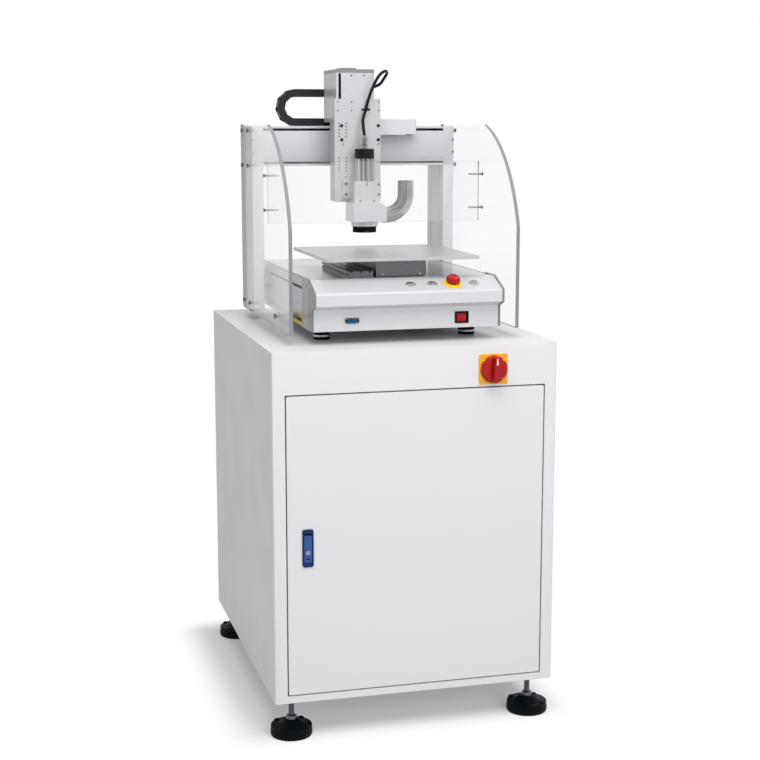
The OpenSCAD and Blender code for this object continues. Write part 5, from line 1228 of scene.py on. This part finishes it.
# ---- Suction elbow ----
# A stainless steel tube with a 1.5 mm wall, bent upright and polished. The vacuum hose is pushed over its
# open end.
elbow_wall = 0.0015
elbow_bend = 0.047
elbow_low, elbow_high = ends_of("suction_elbow")
tube_r = (elbow_high.y - elbow_low.y) / 2
elbow_y = (elbow_low.y + elbow_high.y) / 2
elbow_z = elbow_low.z + tube_r
up_x = elbow_high.x - tube_r
elbow_line = [Vector((elbow_low.x, elbow_y, elbow_z))]
for a in range(0, 91, 5):
    elbow_line.append(Vector((up_x - elbow_bend + elbow_bend * math.sin(math.radians(a)), elbow_y,
                              elbow_z + elbow_bend - elbow_bend * math.cos(math.radians(a)))))
elbow_line.append(Vector((up_x, elbow_y, elbow_high.z)))
elbow_steel, tree, where = bare_finish("polished_elbow_steel_painted_reflections")
brush = noise(tree, where, 420.0, 4.0, Roughness=0.7)
# Painted reflections: light and dark patches in the steel's colour stand in for the reflections on the polished
# tube.
tint = two_tone(tree, noise(tree, where, 60.0, 2.0), linear("#8f8e8c"), linear("#c2c1bf"))
finished(elbow_steel, tint, ranged(tree, brush, 0.3, 0.7, 0.07, 0.15), brush, 0.08, Metallic=1.0)
shell = bmesh.new()
sweep(shell, elbow_line, tube_r, sides=64, wall=elbow_wall)
fitted("suction_elbow_tube", shell, elbow_steel, "suction_elbow", 50)


# ---- Clear guards ----
# Laser-cut cast acrylic, 8 mm thick: two side sheets with a curved front edge, and a shield between them. Face
# on the sheet is all but invisible; its polished edges gather the light into a grey line, which is painted on
# them as an opaque grey, a painted highlight and shade.
def cast_acrylic(name, axis, haze=0.05, edge="#8c8c90", gloss=0.9):
    """Clear cast sheet whose faces lie square to one axis: a slight haze and gloss on them, and grey edges of
    painted light.
    """
    material, tree, where = bare_finish(name)
    normal = put(tree, "ShaderNodeNewGeometry").outputs["True Normal"]
    parts = put(tree, "ShaderNodeSeparateXYZ", Vector=normal)
    face = maths(tree, "GREATER_THAN", maths(tree, "ABSOLUTE", parts.outputs[axis]), 0.9)
    dust = ranged(tree, noise(tree, where, 1000 / 60, 1.0), 0.3, 0.7, haze * 0.9, haze * 1.1)
    clear = put(tree, "ShaderNodeBsdfTransparent", Color=linear("#fdfdfd"))
    veil = put(tree, "ShaderNodeBsdfDiffuse", Color=linear("#f2f1f3"))
    shine = put(tree, "ShaderNodeBsdfGlossy", Color=(1, 1, 1, 1), Roughness=0.02)
    steep = maths(tree, "POWER", put(tree, "ShaderNodeLayerWeight", Blend=0.5).outputs["Facing"], 5.0)
    share = maths(tree, "MULTIPLY_ADD", steep, gloss, 0.04 * gloss)
    sheet = put(tree, "ShaderNodeMixShader", Fac=dust, _1=clear, _2=veil)
    sheet = put(tree, "ShaderNodeMixShader", Fac=share, _1=sheet, _2=shine)
    # Painted highlight and shade: the edges are an opaque grey that stands for the light the polished edges
    # gather.
    rim = put(tree, "ShaderNodeBsdfPrincipled", Base_Color=linear(edge), Roughness=0.25)
    both = put(tree, "ShaderNodeMixShader", Fac=face, _1=rim, _2=sheet)
    put(tree, "ShaderNodeOutputMaterial", Surface=both)
    return material


# The left sheet has more haze and gloss than the right one: its pale veil stands in partly for the reflection of
# the white surround that this sheet shows at its angle, a painted reflection.
dressed("guard_left", cast_acrylic("cast_acrylic_left", 0, haze=0.045, edge="#828286", gloss=0.6))
dressed("guard_right", cast_acrylic("cast_acrylic_right", 0, haze=0.006, edge="#828286", gloss=0.12))
dressed("front_shield", cast_acrylic("cast_acrylic_shield", 1, haze=0.05, edge="#98989c"))
screw_steel = zinc_plated("guard_screw_steel", "#77777b", rough=0.3)
tree = screw_steel.node_tree
spot = put(tree, "ShaderNodeSeparateXYZ", Vector=put(tree, "ShaderNodeTexCoord").outputs["Object"])
guard_face = ends_of("guard_right")[0].x
between = maths(tree, "LESS_THAN", maths(tree, "ABSOLUTE", spot.outputs["X"]), guard_face - 0.001)
recoloured(screw_steel, two_tone(tree, between, linear("#77777b"), linear("#b4b4b8")))
dressed("guard_screws", screw_steel)
